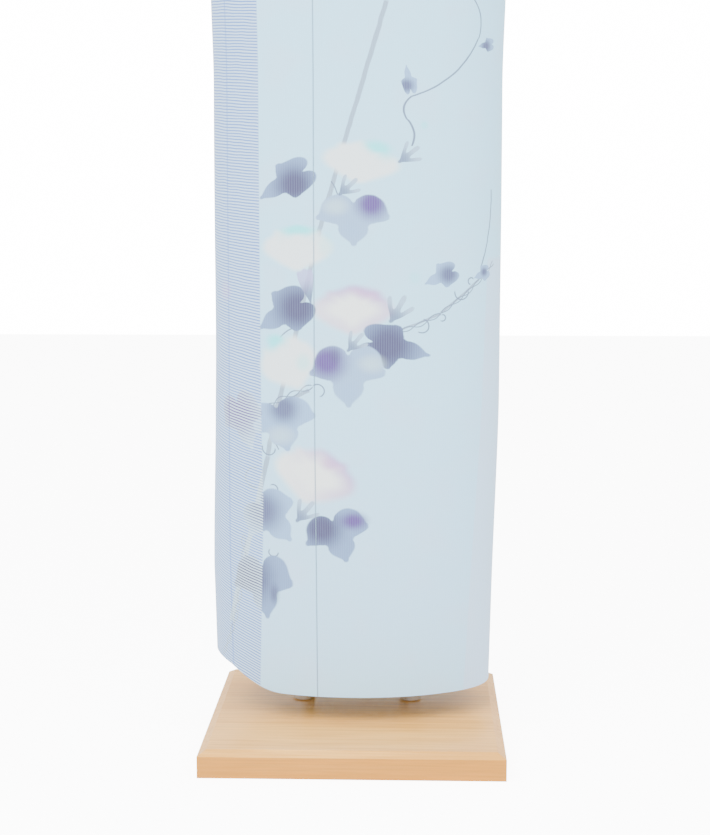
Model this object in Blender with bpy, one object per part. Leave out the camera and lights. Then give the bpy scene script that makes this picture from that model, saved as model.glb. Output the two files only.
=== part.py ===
"""A women's summer kimono of silk gauze, dressed on a limbless form on two posts and a wooden board.

Metres, +Z up. The front faces -Y and the wearer's left is +X. The origin is the middle of the
board's underside. The left front lies over the right one, as a kimono is worn.
"""

import math

import bmesh
import bpy
from mathutils import Vector

# Stand
BOARD_SIDE = 0.360
BOARD_HIGH = 0.032
CHAMFER_WIDE = 0.0104
CHAMFER_HIGH = 0.0064
BODY_Y = 0.040  # posts, form and cloth stand a little behind the board's middle
POST_APART = 0.136
POST_RADIUS = 0.011
FLANGE_RADIUS = 0.014
FLANGE_HIGH = 0.014
ROUND_SIDES = 24
FIT = 0.0003  # between hard pieces that sit on each other
ROD_RADIUS = 0.007
ROD_HALF_LENGTH = 0.632

# Cloth, as it is cut
WALL = 0.0012
SEAM = 0.0003
FOLD_STEP = 0.0024  # from one layer of the waist fold to the next
SHOULDER_CUT = 0.310  # centre back to sleeve seam
SLEEVE_WIDE = 0.330
SLEEVE_LONG = 0.490
SLEEVE_CORNER = 0.030
SLEEVE_EDGE = 0.0011  # half the thickness of a sleeve's closed edge
COLLAR_WIDE = 0.055
COLLAR_WALL = 0.003  # the collar is cloth folded twice
COLLAR_GAP = 0.0014
COLLAR_LIFT = WALL / 2 + COLLAR_GAP + COLLAR_WALL / 2
COLLAR_STANDS = 0.034  # how far its inner edge rises beside the neck
COLLAR_ROOM = COLLAR_WALL + 0.0017  # its lower end lies between the front and the sash
OVER_COLLAR_WALL = 0.001
OVER_COLLAR_OUT = COLLAR_WALL / 2 + OVER_COLLAR_WALL / 2 + 0.0005
SASH_LIFT = 0.0019
SASH_LAP = 0.0022
OVER_STEP = (0.0032, 0.0082)  # how far the left side lies over the right, on the skirt and at the waist
FRONT_STEP = 0.0112  # the same on the chest, over the right front's collar
FRONT_START = -0.028  # the front panel's edge, past centre front at armhole height
CURVE_STEPS = 240

# Heights
HEM = 0.064
FOLD_LOW = 0.985
FOLD_HIGH = 1.080
SASH_LOW = 1.050
SASH_HIGH = 1.150
SASH_CLEAR = 1.157  # above the sash the cloth starts to widen
ARMHOLE = 1.235
SHOULDER = 1.460
NECK_SIDE = 1.505
NECK_TOP = 1.575
FORM_LOW = 0.560

# Across the bodice
NECK_X = 0.090
SIDE_GAP = 0.013  # half the space between front and back at the sleeve seam
CHEST_DEPTH = 0.112
BACK_DEPTH = 0.104

# Round the body a place is counted from 0 at centre front to 1 at the side seam and 2 at centre back.
SIDE_SEAM = 0.36  # of the way from centre front to centre back
OKUMI_SEAM = 0.287
OKUMI_EDGE = 1.164
OKUMI_SEAM_HALF = 0.00096  # half a seam's gap there, as a place
BACK_SEAM_HALF = 0.00054
FRONT_COLUMNS = (-OKUMI_SEAM, -0.17, 0.0, 0.17, OKUMI_SEAM, 0.50, 0.64, 0.76, 0.88, 1.0)
BACK_COLUMNS = (1.0, 1.06, 1.112, OKUMI_EDGE, 1.216, 1.27, 1.33, 1.42, 1.54, 1.68, 1.79, 1.90, 2.0)
OKUMI_COLUMNS = (OKUMI_SEAM, 0.50, 0.64, 0.76, 0.88, 1.0, 1.06, 1.112, OKUMI_EDGE)
SHOULDER_STRIPS = len(FRONT_COLUMNS) - 1
NECK_STRIPS = len(BACK_COLUMNS) - len(FRONT_COLUMNS)
SKIRT_ROWS = (0.15, 0.25, 0.37, 0.50, 0.63, 0.76, 0.87, 0.95)
ARCH_ROWS = (0, 14, 28, 43, 58, 74, 86, 90)  # degrees up the chest, from armhole height to shoulder
# The collar's rows up the left front. The right one starts at the fifth, under the left front.
COLLAR_HEIGHTS = (1.125, 1.150, 1.175, 1.205, 1.235, 1.262, 1.290)
RIGHT_COLLAR_START = 4

# How far the wrapped cloth stands round the body: height, half width, half depth
BODY = (
    (0.050, 0.1635, 0.1010),
    (0.110, 0.1650, 0.1020),
    (0.210, 0.1674, 0.1030),
    (0.420, 0.1735, 0.1060),
    (0.670, 0.1738, 0.1075),
    (0.910, 0.1722, 0.1085),
    (0.985, 0.1680, 0.1065),
    (1.030, 0.1500, 0.1020),
    (1.160, 0.1500, 0.1020),
    (1.300, 0.1500, 0.1020),
)
SQUARENESS = 2.35
# How far the loose edge of the left okumi stands off: height, distance
FLARE = (
    (0.000, 0.0115),
    (0.100, 0.0115),
    (0.210, 0.0115),
    (0.420, 0.0010),
    (0.670, -0.0010),
    (0.900, -0.0015),
    (0.985, 0.0),
    (1.300, 0.0),
)
# Dress form: height, half width, half depth
FORM = (
    (FORM_LOW, 0.120, 0.074),
    (0.570, 0.132, 0.084),
    (0.620, 0.142, 0.090),
    (0.740, 0.153, 0.095),
    (0.870, 0.158, 0.098),
    (0.960, 0.146, 0.092),
    (1.040, 0.124, 0.084),
    (1.110, 0.117, 0.080),
    (1.190, 0.126, 0.086),
    (1.270, 0.140, 0.092),
    (1.340, 0.148, 0.086),
    (1.400, 0.152, 0.072),
    (1.440, 0.146, 0.056),
    (1.465, 0.112, 0.048),
    (1.482, 0.070, 0.045),
    (1.505, 0.050, 0.045),
    (1.540, 0.046, 0.046),
    (NECK_TOP - 0.006, 0.045, 0.045),
    (NECK_TOP, 0.039, 0.039),
)
FORM_SIDES = 32

LEFT = 1
RIGHT = -1
FRONT = -1
BACK = 1


def blend(a, b, t):
    return a + (b - a) * t


def smooth(start, end, x):
    t = min(1.0, max(0.0, (x - start) / (end - start)))
    return t * t * (3 - 2 * t)


def read(table, height, column):
    """A table's value at a height, on a smooth curve through its rows."""
    last = len(table) - 2
    i = 0
    while i < last and height > table[i + 1][0]:
        i += 1
    a, b = table[i], table[i + 1]
    before, after = table[max(i - 1, 0)], table[min(i + 2, len(table) - 1)]
    span = b[0] - a[0]
    t = min(1.0, max(0.0, (height - a[0]) / span))
    slope_a = (b[column] - before[column]) / (b[0] - before[0]) * span
    slope_b = (after[column] - a[column]) / (after[0] - a[0]) * span
    rise = b[column] - a[column]
    if slope_a * rise <= 0 or slope_b * rise <= 0:
        slope_a = slope_b = 0.0
    return (
        a[column] * (2 * t**3 - 3 * t**2 + 1)
        + slope_a * (t**3 - 2 * t**2 + t)
        + b[column] * (3 * t**2 - 2 * t**3)
        + slope_b * (t**3 - t**2)
    )


RINGS = {}


def ring(z):
    """Half the plan curve at a height: its points from centre front to back, and how far along each is."""
    key = round(z, 5)
    if key not in RINGS:
        wide, deep = read(BODY, z, 1), read(BODY, z, 2)
        points = []
        for i in range(CURVE_STEPS + 1):
            turn = math.pi * (i / CURVE_STEPS - 0.5)
            power = 2 / SQUARENESS
            x = wide * abs(math.cos(turn)) ** power
            y = math.copysign(deep * abs(math.sin(turn)) ** power, turn)
            points.append(Vector((x, y)))
        along = [0.0]
        for a, b in zip(points, points[1:]):
            along.append(along[-1] + (b - a).length)
        RINGS[key] = points, along
    return RINGS[key]


def round_body(place, z, off, side=LEFT):
    """A point of the wrapped cloth: its place round the body, its height and how far it lies out."""
    points, along = ring(z)
    k = abs(place)
    share = SIDE_SEAM * k if k <= 1 else SIDE_SEAM + (1 - SIDE_SEAM) * (k - 1)
    want = share * along[-1]
    i = 1
    while i < len(along) - 1 and along[i] < want:
        i += 1
    t = (want - along[i - 1]) / (along[i] - along[i - 1])
    spot = points[i - 1].lerp(points[i], t)
    before, after = points[max(i - 3, 0)], points[min(i + 2, len(points) - 1)]
    if share < 0.004:
        normal = Vector((0, -1))
    elif share > 0.996:
        normal = Vector((0, 1))
    else:
        run = (after - before).normalized()
        normal = Vector((run.y, -run.x))
    spot = spot + normal * off
    hand = side if place >= 0 else -side
    return Vector((hand * spot.x, BODY_Y + spot.y, z))


def over_step(z):
    """How far the left side lies over the right one."""
    return blend(*OVER_STEP, smooth(0.80, 0.96, z))


def panel_off(side, place, z):
    if side == RIGHT:
        return 0.0
    return over_step(z) * (1 - smooth(1.19, 1.45, place))


def shoulder_height(x):
    return blend(NECK_SIDE, SHOULDER, smooth(0.09, 0.21, x))


def bodice(x, degrees, face, off=0.0):
    """A point of the upper cloth, on an arch from armhole height over the shoulder."""
    wide = abs(x)
    deep = CHEST_DEPTH if face == FRONT else BACK_DEPTH
    deep = SIDE_GAP + (deep - SIDE_GAP) * (1 + math.cos(math.pi * min(1.0, wide / SHOULDER_CUT))) / 2
    rise = shoulder_height(wide) - ARMHOLE
    power = 2 / blend(2.3, 6.0, smooth(0.12, 0.28, wide))
    c, s = math.cos(math.radians(degrees)), math.sin(math.radians(degrees))
    c, s = max(c, 0.0), max(s, 0.0)
    out = Vector((0, face * c ** (2 - power) / deep, s ** (2 - power) / rise)).normalized()
    spot = Vector((x, BODY_Y + face * deep * c**power, ARMHOLE + rise * s**power))
    return spot + out * off


def front_edge(degrees):
    """Where the front panel's edge lies under the collar."""
    climb = math.sin(math.radians(degrees)) ** (2 / 2.3)
    return blend(FRONT_START, NECK_X, climb)


def front_off(side, x, degrees):
    """The left front lies over the right front and its collar."""
    if side == RIGHT:
        return 0.0
    return FRONT_STEP *(1 - smooth(0.12, 0.26, abs(x))) * (1 - smooth(46, 82, degrees))


def back_top(x):
    """How far up the arch the back neckline is, in degrees."""
    return 90 - 34 * (1 - min(1.0, abs(x) / NECK_X) ** 2)


def mirrored(point, side):
    return Vector((side * point.x, point.y, point.z))


def front_point(side, share, degrees):
    edge = front_edge(degrees)
    x = blend(edge, SHOULDER_CUT - SEAM / 2, share)
    return mirrored(bodice(x, degrees, FRONT, front_off(side, x, degrees)), side)


def material(name, colour, roughness, metallic=0.0):
    made = bpy.data.materials.new(name)
    made.use_nodes = True
    shader = made.node_tree.nodes["Principled BSDF"]
    shader.inputs["Base Color"].default_value = (*colour, 1)
    shader.inputs["Roughness"].default_value = roughness
    shader.inputs["Metallic"].default_value = metallic
    return made


def keep(name, mesh, finish):
    made = bpy.data.objects.new(name, mesh)
    made.data.materials.append(finish)
    bpy.context.scene.collection.objects.link(made)
    return made


def cloth(name, spots, faces, finish, wall=WALL):
    """A piece of cloth from named points and four-sided patches, with a Solidify modifier for its wall."""
    shape = bmesh.new()
    corner = {key: shape.verts.new(spot) for key, spot in spots.items()}
    for a, b, c, d in faces:
        halves = ((a, b, c), (a, c, d)) if spots[a].z <= spots[d].z else ((a, b, d), (b, c, d))
        for half in halves:
            shape.faces.new([corner[key] for key in half])
    bmesh.ops.recalc_face_normals(shape, faces=shape.faces)
    mesh = bpy.data.meshes.new(name)
    shape.to_mesh(mesh)
    shape.free()
    made = keep(name, mesh, finish)
    wall_maker = made.modifiers.new("wall", "SOLIDIFY")
    wall_maker.thickness = wall
    wall_maker.offset = 0.0
    wall_maker.use_even_offset = True
    return made


def patches(rows, columns, name="", closed=False):
    """The four-sided patches between numbered rows and columns."""
    found = []
    for row in range(rows - 1):
        for column in range(columns - 1 + closed):
            after = (column + 1) % columns
            found.append(
                ((name, row, column), (name, row, after), (name, row + 1, after), (name, row + 1, column))
            )
    return found


def wrapped_rows(hem, top=SASH_CLEAR):
    """Up the skirt, then up, down and up again through the waist fold: height and layer."""
    rows = [(hem, 0), (hem + 0.022, 0)]
    rows += [(z, 0) for z in SKIRT_ROWS]
    middle = (FOLD_LOW + FOLD_HIGH) / 2
    rows += [(FOLD_LOW, 0), (middle, 0), (FOLD_HIGH, 0)]
    rows += [(FOLD_HIGH, 1), (middle, 1), (FOLD_LOW, 1)]
    rows += [(FOLD_LOW, 2), (middle, 2), (FOLD_HIGH, 2), (top, 2)]
    return rows


def panel_hem(side, place):
    """The right side's hem is drawn up a little at the hip, as it is when it is dressed."""
    if side == LEFT:
        return HEM + 0.002 * smooth(0.0, 1.0, place)
    return HEM + 0.003 + 0.037 * smooth(0.50, 1.05, place) * (1 - smooth(1.20, 1.80, place))


def seam_inset(place):
    """Half a seam's gap, as a place round the body, at the two ends of a panel."""
    if place == -OKUMI_SEAM:
        return OKUMI_SEAM_HALF
    return -BACK_SEAM_HALF if place == 2.0 else 0.0


def body_panel(name, side, finish):
    """One length of cloth: front, over the shoulder, and back, with the side seam and armhole."""
    columns = FRONT_COLUMNS + BACK_COLUMNS[1:]
    spots, faces = {}, []
    for column, place in enumerate(columns):
        rows = wrapped_rows(panel_hem(side, place))
        at = place + seam_inset(place)
        for row, (z, layer) in enumerate(rows):
            off = panel_off(side, place, z) + layer * FOLD_STEP
            spots["", row, column] = round_body(at, z, off, side)
    count = len(rows)
    faces += patches(count, len(columns))
    rising = ("blend 1", "blend 2") + tuple(f"arch {turn}" for turn in ARCH_ROWS)
    top_row = rising[-1]
    for face, first, last in ((FRONT, 0, SHOULDER_STRIPS), (BACK, SHOULDER_STRIPS, len(columns) - 1)):
        for column in range(first, last + 1):
            low = spots["", count - 1, column]
            for turn in ARCH_ROWS:
                if face == FRONT:
                    share = column / SHOULDER_STRIPS
                    spot = front_point(side, share, turn)
                else:
                    step = column - SHOULDER_STRIPS
                    if step <= SHOULDER_STRIPS:
                        x = blend(SHOULDER_CUT - SEAM / 2, NECK_X, step / SHOULDER_STRIPS)
                    else:
                        x = blend(NECK_X, SEAM / 2, (step - SHOULDER_STRIPS) / NECK_STRIPS)
                    spot = mirrored(bodice(x, turn / 90 * back_top(x), BACK), side)
                spots[face, f"arch {turn}", column] = spot
            base = spots[face, "arch 0", column]
            spots[face, "blend 1", column] = low.lerp(base, 0.34)
            spots[face, "blend 2", column] = low.lerp(base, 0.68)
        for column in range(first, last):
            faces.append(
                (
                    ("", count - 1, column),
                    ("", count - 1, column + 1),
                    (face, rising[0], column + 1),
                    (face, rising[0], column),
                )
            )
            for low_row, high_row in zip(rising, rising[1:]):
                faces.append(
                    (
                        (face, low_row, column),
                        (face, low_row, column + 1),
                        (face, high_row, column + 1),
                        (face, high_row, column),
                    )
                )
    # At the shoulder the front's columns are the back's, from the sleeve seam to the side of the neck.
    twin = {}
    for step in range(SHOULDER_STRIPS + 1):
        twin[FRONT, top_row, SHOULDER_STRIPS - step] = (BACK, top_row, SHOULDER_STRIPS + step)
    faces = [tuple(twin.get(key, key) for key in face) for face in faces]
    for key in twin:
        del spots[key]
    return cloth(name, spots, faces, finish)


def okumi(name, side, finish):
    """The overlap panel, from its seam with the front to the loose edge."""
    spots = {}
    for column, place in enumerate(OKUMI_COLUMNS):
        lift = smooth(0.55, OKUMI_EDGE, place)
        drift = (place - OKUMI_SEAM) / (OKUMI_EDGE - OKUMI_SEAM)
        if side == LEFT:
            hem = HEM + 0.004 * drift + 0.035 * lift**1.35
        else:
            hem = HEM + 0.004 + 0.020 * lift
        at = place + (OKUMI_SEAM_HALF if place == OKUMI_SEAM else 0.0)
        rows = wrapped_rows(hem, SASH_HIGH - 0.012)
        flare_end = OKUMI_EDGE + 0.1
        stand_off = smooth(0.62, flare_end, place) / smooth(0.62, flare_end, OKUMI_EDGE)
        for row, (z, layer) in enumerate(rows):
            off = layer * FOLD_STEP
            if side == LEFT:
                off += over_step(z) + read(FLARE, z, 1) * stand_off
            spots["", row, column] = round_body(at, z, off, -side)
    return cloth(name, spots, patches(len(rows), len(OKUMI_COLUMNS)), finish)


def sleeve_bottom(x):
    """The lower edge, with its rounded outer corner."""
    low = SHOULDER - SLEEVE_LONG
    past = x - (SHOULDER_CUT + SLEEVE_WIDE - SLEEVE_CORNER)
    if past <= 0:
        return low
    return low + SLEEVE_CORNER - math.sqrt(max(0.0, SLEEVE_CORNER**2 - past**2))


def sleeve_point(x, row, face):
    """Front or back of a sleeve: the arch to armhole height, then down to the lower edge."""
    outer = SHOULDER_CUT + SLEEVE_WIDE
    if isinstance(row, int):
        spot = bodice(SHOULDER_CUT, row, face)
        spread = blend(1.0, 0.92, smooth(SHOULDER_CUT, outer, x))
        spot.y = BODY_Y + (spot.y - BODY_Y) * spread
    else:
        z = blend(ARMHOLE, sleeve_bottom(x), row)
        open_half = SIDE_GAP * blend(1.0, 0.45, row) * blend(1.0, 0.92, smooth(SHOULDER_CUT, outer, x))
        shut = smooth(outer - 0.060, outer, x) * smooth(0.0, 0.16, row)
        low_shut = smooth(0.86, 1.0, row)
        half = blend(open_half, SLEEVE_EDGE, max(shut, low_shut))
        spot = Vector((0, BODY_Y + face * half, z))
    spot.x = x
    return spot


def sleeve(name, side, finish):
    """Folded along the rod, sewn below the hand opening and along the bottom, open towards the body."""
    outer = SHOULDER_CUT + SLEEVE_WIDE
    stations = (SHOULDER_CUT + SEAM / 2, 0.36, 0.42, 0.48, 0.54, 0.585, 0.612, 0.628, 0.636, outer)
    down = (0.16, 0.38, 0.62, 0.80, 0.92, 1.0)
    front_rows = list(reversed(ARCH_ROWS)) + list(down)
    loop = [(row, FRONT) for row in front_rows] + [(row, BACK) for row in reversed(front_rows[1:])]
    spots = {}
    for station, x in enumerate(stations):
        for place, (row, face) in enumerate(loop):
            spots["", station, place] = mirrored(sleeve_point(x, row, face), side)
    faces = patches(len(stations), len(loop), closed=True)
    last = len(stations) - 1
    first_shut = len(ARCH_ROWS)
    for place in range(first_shut, len(front_rows) - 1):
        twin, next_twin = len(loop) - place, len(loop) - place - 1
        faces.append((("", last, place), ("", last, place + 1), ("", last, next_twin), ("", last, twin)))
    return cloth(name, spots, faces, finish)


def on_front(side, x, z, off):
    """A point on the front between the sash and the armhole's height, or on the arch above it."""
    if z >= ARMHOLE:
        rise = shoulder_height(abs(x)) - ARMHOLE
        roundness = blend(2.3, 6.0, smooth(0.12, 0.28, abs(x)))
        climb = min(1.0, ((z - ARMHOLE) / rise) ** (roundness / 2))
        degrees = math.degrees(math.asin(climb))
        return mirrored(bodice(x, degrees, FRONT, off + front_off(side, x, degrees)), side)
    low, high = 0.0, 1.0
    t = max(0.0, (z - SASH_CLEAR) / (ARMHOLE - SASH_CLEAR))
    for _ in range(30):
        share = (low + high) / 2
        place = blend(-OKUMI_SEAM - 0.5, 1.0, share)
        start_off = panel_off(side, max(place, 0), SASH_CLEAR) + 2 * FOLD_STEP
        start = round_body(place, min(z, SASH_CLEAR), start_off + off)
        over = (place + OKUMI_SEAM) / (1 + OKUMI_SEAM)
        x_high = blend(front_edge(0), SHOULDER_CUT, over)
        finish = bodice(x_high, 0, FRONT, off + front_off(side, x_high, 0))
        spot = start.lerp(finish, t)
        if spot.x < x:
            low = share
        else:
            high = share
    spot.z = z
    return mirrored(spot, side)


def collar_rows(side):
    """Outer and inner edge of the collar on one side, from its front end to centre back."""
    rows = []
    heights = COLLAR_HEIGHTS if side == LEFT else COLLAR_HEIGHTS[RIGHT_COLLAR_START:]
    for z in heights:
        middle = blend(FRONT_START, NECK_X, (z - ARMHOLE) / (NECK_SIDE - ARMHOLE))
        line = []
        for across in (0.5, 0.0, -0.5):
            x = middle + across * COLLAR_WIDE * 0.92
            drop = across * COLLAR_WIDE * 0.40
            line.append(on_front(side, x, z - drop, COLLAR_LIFT))
        rows.append(line)
    for degrees in range(18, 91, 6):
        edge = front_edge(degrees)
        rising = smooth(55, 90, degrees)
        line = []
        for across in (0.5, 0.0, -0.5):
            x = edge + across * COLLAR_WIDE * blend(0.92, 0.50, rising) + 0.004 * rising
            lean = degrees - across * 9 * (1 - rising)
            lift = COLLAR_LIFT + front_off(side, x, lean) + 0.0012 * rising
            spot = mirrored(bodice(x, lean, FRONT, lift), side)
            spot.z += COLLAR_STANDS * rising * (0.5 - across) ** 2
            line.append(spot)
        rows.append(line)
    for x in (0.086, 0.078, 0.066, 0.048, 0.025, 0.0):
        turn = smooth(0.0, 1.0, 1 - x / 0.100)
        low = bodice(x + 0.016 * (1 - turn), back_top(x) - 6, BACK, COLLAR_LIFT)
        away = Vector((-0.8 * (1 - turn), blend(0.12, 0.30, turn), blend(0.70, 1.0, turn))).normalized()
        line = [mirrored(low + away * COLLAR_WIDE * share, side) for share in (0.0, 0.5, 1.0)]
        rows.append(line)
    return rows


def collar(name, finish):
    left, right = collar_rows(LEFT), collar_rows(RIGHT)
    lines = left + right[-2::-1]
    spots = {("", row, place): spot for row, line in enumerate(lines) for place, spot in enumerate(line)}
    return cloth(name, spots, patches(len(lines), 3), finish, COLLAR_WALL)


def over_collar(name, finish):
    """The guard over the collar's neck part, made from the collar's points moved out."""
    left, right = collar_rows(LEFT)[5:], collar_rows(RIGHT)[3:]
    lines = left + right[-2::-1]
    shape = []
    for row, line in enumerate(lines):
        before, after = lines[max(row - 1, 0)], lines[min(row + 1, len(lines) - 1)]
        moved = []
        for place, spot in enumerate(line):
            across = line[min(place + 1, 2)] - line[max(place - 1, 0)]
            forward = after[place] - before[place]
            normal = forward.cross(across).normalized()
            moved.append(spot + normal * OVER_COLLAR_OUT)
        shape.append(moved)
    spots = {("", row, place): spot for row, line in enumerate(shape) for place, spot in enumerate(line)}
    return cloth(name, spots, patches(len(shape), 3), finish, OVER_COLLAR_WALL)


def sash(name, finish):
    """A narrow sash: once round the waist, its end laid over its start at the wearer's left front."""
    half = FRONT_COLUMNS[2:] + BACK_COLUMNS[1:]
    lap = (0.17, OKUMI_SEAM, 0.50, 0.64)
    stops = [(LEFT, place, 0.0) for place in half[1:]]
    stops += [(RIGHT, place, SASH_LAP * smooth(0.9, 0.5, place)) for place in half[-2::-1]]
    stops += [(LEFT, place, SASH_LAP) for place in lap]
    spots = {}
    middle = (SASH_LOW + SASH_HIGH) / 2
    for stop, (side, place, lapped) in enumerate(stops):
        layers = panel_off(LEFT, place, SASH_HIGH) + 2 * FOLD_STEP
        room = SASH_LIFT + COLLAR_ROOM * (1 - smooth(0.64, 0.95, place))
        spot = round_body(place, middle, layers + room + lapped, side)
        for row, z in enumerate((SASH_LOW, middle, SASH_HIGH)):
            spots["", row, stop] = Vector((spot.x, spot.y, z))
    return cloth(name, spots, patches(3, len(stops)), finish)


def loft(name, sections, finish):
    """A closed body through round or oval sections: height, half width, half depth."""
    shape = bmesh.new()
    rings = []
    for z, wide, deep in sections:
        loop = []
        for i in range(FORM_SIDES):
            turn = 2 * math.pi * i / FORM_SIDES
            loop.append(shape.verts.new((wide * math.cos(turn), BODY_Y + deep * math.sin(turn), z)))
        rings.append(loop)
    for low, high in zip(rings, rings[1:]):
        for i in range(FORM_SIDES):
            after = (i + 1) % FORM_SIDES
            shape.faces.new((low[i], low[after], high[after], high[i]))
    shape.faces.new(list(reversed(rings[0])))
    shape.faces.new(rings[-1])
    mesh = bpy.data.meshes.new(name)
    shape.to_mesh(mesh)
    shape.free()
    mesh.shade_smooth()
    mesh.set_sharp_from_angle(angle=math.radians(40))
    return keep(name, mesh, finish)


def turned(name, profile, finish, place=(0, 0, 0), along_x=False):
    """A turned piece: its profile is (radius, height) from bottom to top."""
    shape = bmesh.new()
    rings = []
    for radius, height in profile:
        loop = []
        for i in range(ROUND_SIDES):
            turn = 2 * math.pi * i / ROUND_SIDES
            spot = Vector((radius * math.cos(turn), radius * math.sin(turn), height))
            if along_x:
                spot = Vector((spot.z, spot.y, spot.x))
            loop.append(shape.verts.new(spot))
        rings.append(loop)
    for low, high in zip(rings, rings[1:]):
        for i in range(ROUND_SIDES):
            after = (i + 1) % ROUND_SIDES
            shape.faces.new((low[i], low[after], high[after], high[i]))
    shape.faces.new(rings[0])
    shape.faces.new(rings[-1])
    bmesh.ops.recalc_face_normals(shape, faces=shape.faces)
    mesh = bpy.data.meshes.new(name)
    shape.to_mesh(mesh)
    shape.free()
    mesh.shade_smooth()
    mesh.set_sharp_from_angle(angle=math.radians(40))
    made = keep(name, mesh, finish)
    made.location = place
    return made


def board(name, finish):
    """A square board whose upper edges are cut back to a slope."""
    shape = bmesh.new()
    rings = []
    half = BOARD_SIDE / 2
    for reach, z in ((half, 0.0), (half, BOARD_HIGH - CHAMFER_HIGH), (half - CHAMFER_WIDE, BOARD_HIGH)):
        corners = ((-reach, -reach, z), (reach, -reach, z), (reach, reach, z), (-reach, reach, z))
        rings.append([shape.verts.new(corner) for corner in corners])
    for low, high in zip(rings, rings[1:]):
        for i in range(4):
            after = (i + 1) % 4
            shape.faces.new((low[i], low[after], high[after], high[i]))
    shape.faces.new(list(reversed(rings[0])))
    shape.faces.new(rings[-1])
    mesh = bpy.data.meshes.new(name)
    shape.to_mesh(mesh)
    shape.free()
    return keep(name, mesh, finish)


def stand(wood, metal, skin):
    board("base_board", wood)
    low, high = BOARD_HIGH + FIT, FORM_LOW - FIT
    profile = (
        (FLANGE_RADIUS - 0.0010, low),
        (FLANGE_RADIUS, low + 0.0010),
        (FLANGE_RADIUS, low + FLANGE_HIGH - 0.0015),
        (FLANGE_RADIUS - 0.0015, low + FLANGE_HIGH),
        (POST_RADIUS, low + FLANGE_HIGH),
        (POST_RADIUS, high),
    )
    for name, hand in (("post_left", LEFT), ("post_right", RIGHT)):
        turned(name, profile, metal, (hand * POST_APART / 2, BODY_Y, 0))
    form = loft("form_body", FORM, skin)
    rod_z = SHOULDER - WALL / 2 - FIT - ROD_RADIUS
    rod_profile = (
        (ROD_RADIUS - 0.002, -ROD_HALF_LENGTH),
        (ROD_RADIUS, -ROD_HALF_LENGTH + 0.002),
        (ROD_RADIUS, ROD_HALF_LENGTH - 0.002),
        (ROD_RADIUS - 0.002, ROD_HALF_LENGTH),
    )
    turned("sleeve_rod", rod_profile, metal, (0, BODY_Y, rod_z), along_x=True)
    bore = ((ROD_RADIUS + FIT, -0.25), (ROD_RADIUS + FIT, 0.25))
    cutter = turned("rod_bore_cutter", bore, metal, (0, BODY_Y, rod_z), along_x=True)
    cutter.hide_render = True
    cutter.display_type = "WIRE"
    cut = form.modifiers.new("bore", "BOOLEAN")
    cut.operation = "DIFFERENCE"
    cut.object = cutter


def main():
    for old in list(bpy.data.objects):
        bpy.data.objects.remove(old)
    gauze = material("silk_gauze", (0.66, 0.76, 0.83), 0.65)
    sash_cloth = material("sash_silk", (0.78, 0.80, 0.82), 0.55)
    wood = material("beech", (0.67, 0.48, 0.28), 0.25)
    metal = material("chrome", (0.82, 0.82, 0.84), 0.12, 1.0)
    skin = material("form_jersey", (0.86, 0.84, 0.80), 0.8)
    stand(wood, metal, skin)
    body_panel("left_body_panel", LEFT, gauze)
    body_panel("right_body_panel", RIGHT, gauze)
    okumi("left_okumi", LEFT, gauze)
    okumi("right_okumi", RIGHT, gauze)
    sleeve("left_sleeve", LEFT, gauze)
    sleeve("right_sleeve", RIGHT, gauze)
    collar("collar", gauze)
    over_collar("over_collar", gauze)
    sash("waist_sash", sash_cloth)


main()
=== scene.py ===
"""A women's summer kimono of silk gauze on a dress form and stand: the looks of its pieces.

Metres, +Z up. The front faces -Y and the wearer's left is +X.
"""

import math
from functools import lru_cache

import bmesh
import bpy
from bpy.props import FloatProperty, FloatVectorProperty, IntProperty, PointerProperty
from bpy.types import Operator, Panel, PropertyGroup
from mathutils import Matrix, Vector


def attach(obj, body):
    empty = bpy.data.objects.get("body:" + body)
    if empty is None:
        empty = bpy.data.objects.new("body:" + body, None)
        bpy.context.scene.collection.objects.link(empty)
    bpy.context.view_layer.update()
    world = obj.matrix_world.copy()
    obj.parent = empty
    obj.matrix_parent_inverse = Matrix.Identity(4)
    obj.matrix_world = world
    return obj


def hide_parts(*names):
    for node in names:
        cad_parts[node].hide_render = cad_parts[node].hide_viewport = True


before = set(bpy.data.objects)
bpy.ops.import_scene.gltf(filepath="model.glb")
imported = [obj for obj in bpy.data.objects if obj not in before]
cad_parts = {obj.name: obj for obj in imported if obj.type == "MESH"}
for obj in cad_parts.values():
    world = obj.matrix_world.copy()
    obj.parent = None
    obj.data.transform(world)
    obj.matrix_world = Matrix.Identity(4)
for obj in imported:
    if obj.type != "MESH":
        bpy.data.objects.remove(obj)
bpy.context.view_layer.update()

bl_info = {
    "name": "Summer kimono on a dress form",
    "version": (1, 0, 0),
    "blender": (4, 5, 0),
    "location": "View3D > Sidebar > Kimono",
    "description": "Drapes a printed silk gauze kimono over its solids and finishes the form and stand",
    "category": "Add Mesh",
}

# The cut of the cloth
SEAM = 0.0003
FOLD_STEP = 0.0024  # from one layer of the waist fold to the next
SHOULDER_CUT = 0.310  # centre back to sleeve seam
SLEEVE_WIDE = 0.330
SLEEVE_LONG = 0.490
SLEEVE_CORNER = 0.030
SLEEVE_EDGE = 0.0011  # half the thickness of a sleeve's closed edge
COLLAR_WIDE = 0.055
COLLAR_WALL = 0.003
OVER_COLLAR_WALL = 0.001

# Heights
BODY_Y = 0.040
HEM = 0.064
FOLD_LOW = 0.985
FOLD_HIGH = 1.080
SASH_LOW = 1.050
SASH_HIGH = 1.150
SASH_CLEAR = 1.157
ARMHOLE = 1.235
SHOULDER = 1.460
NECK_SIDE = 1.505

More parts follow.
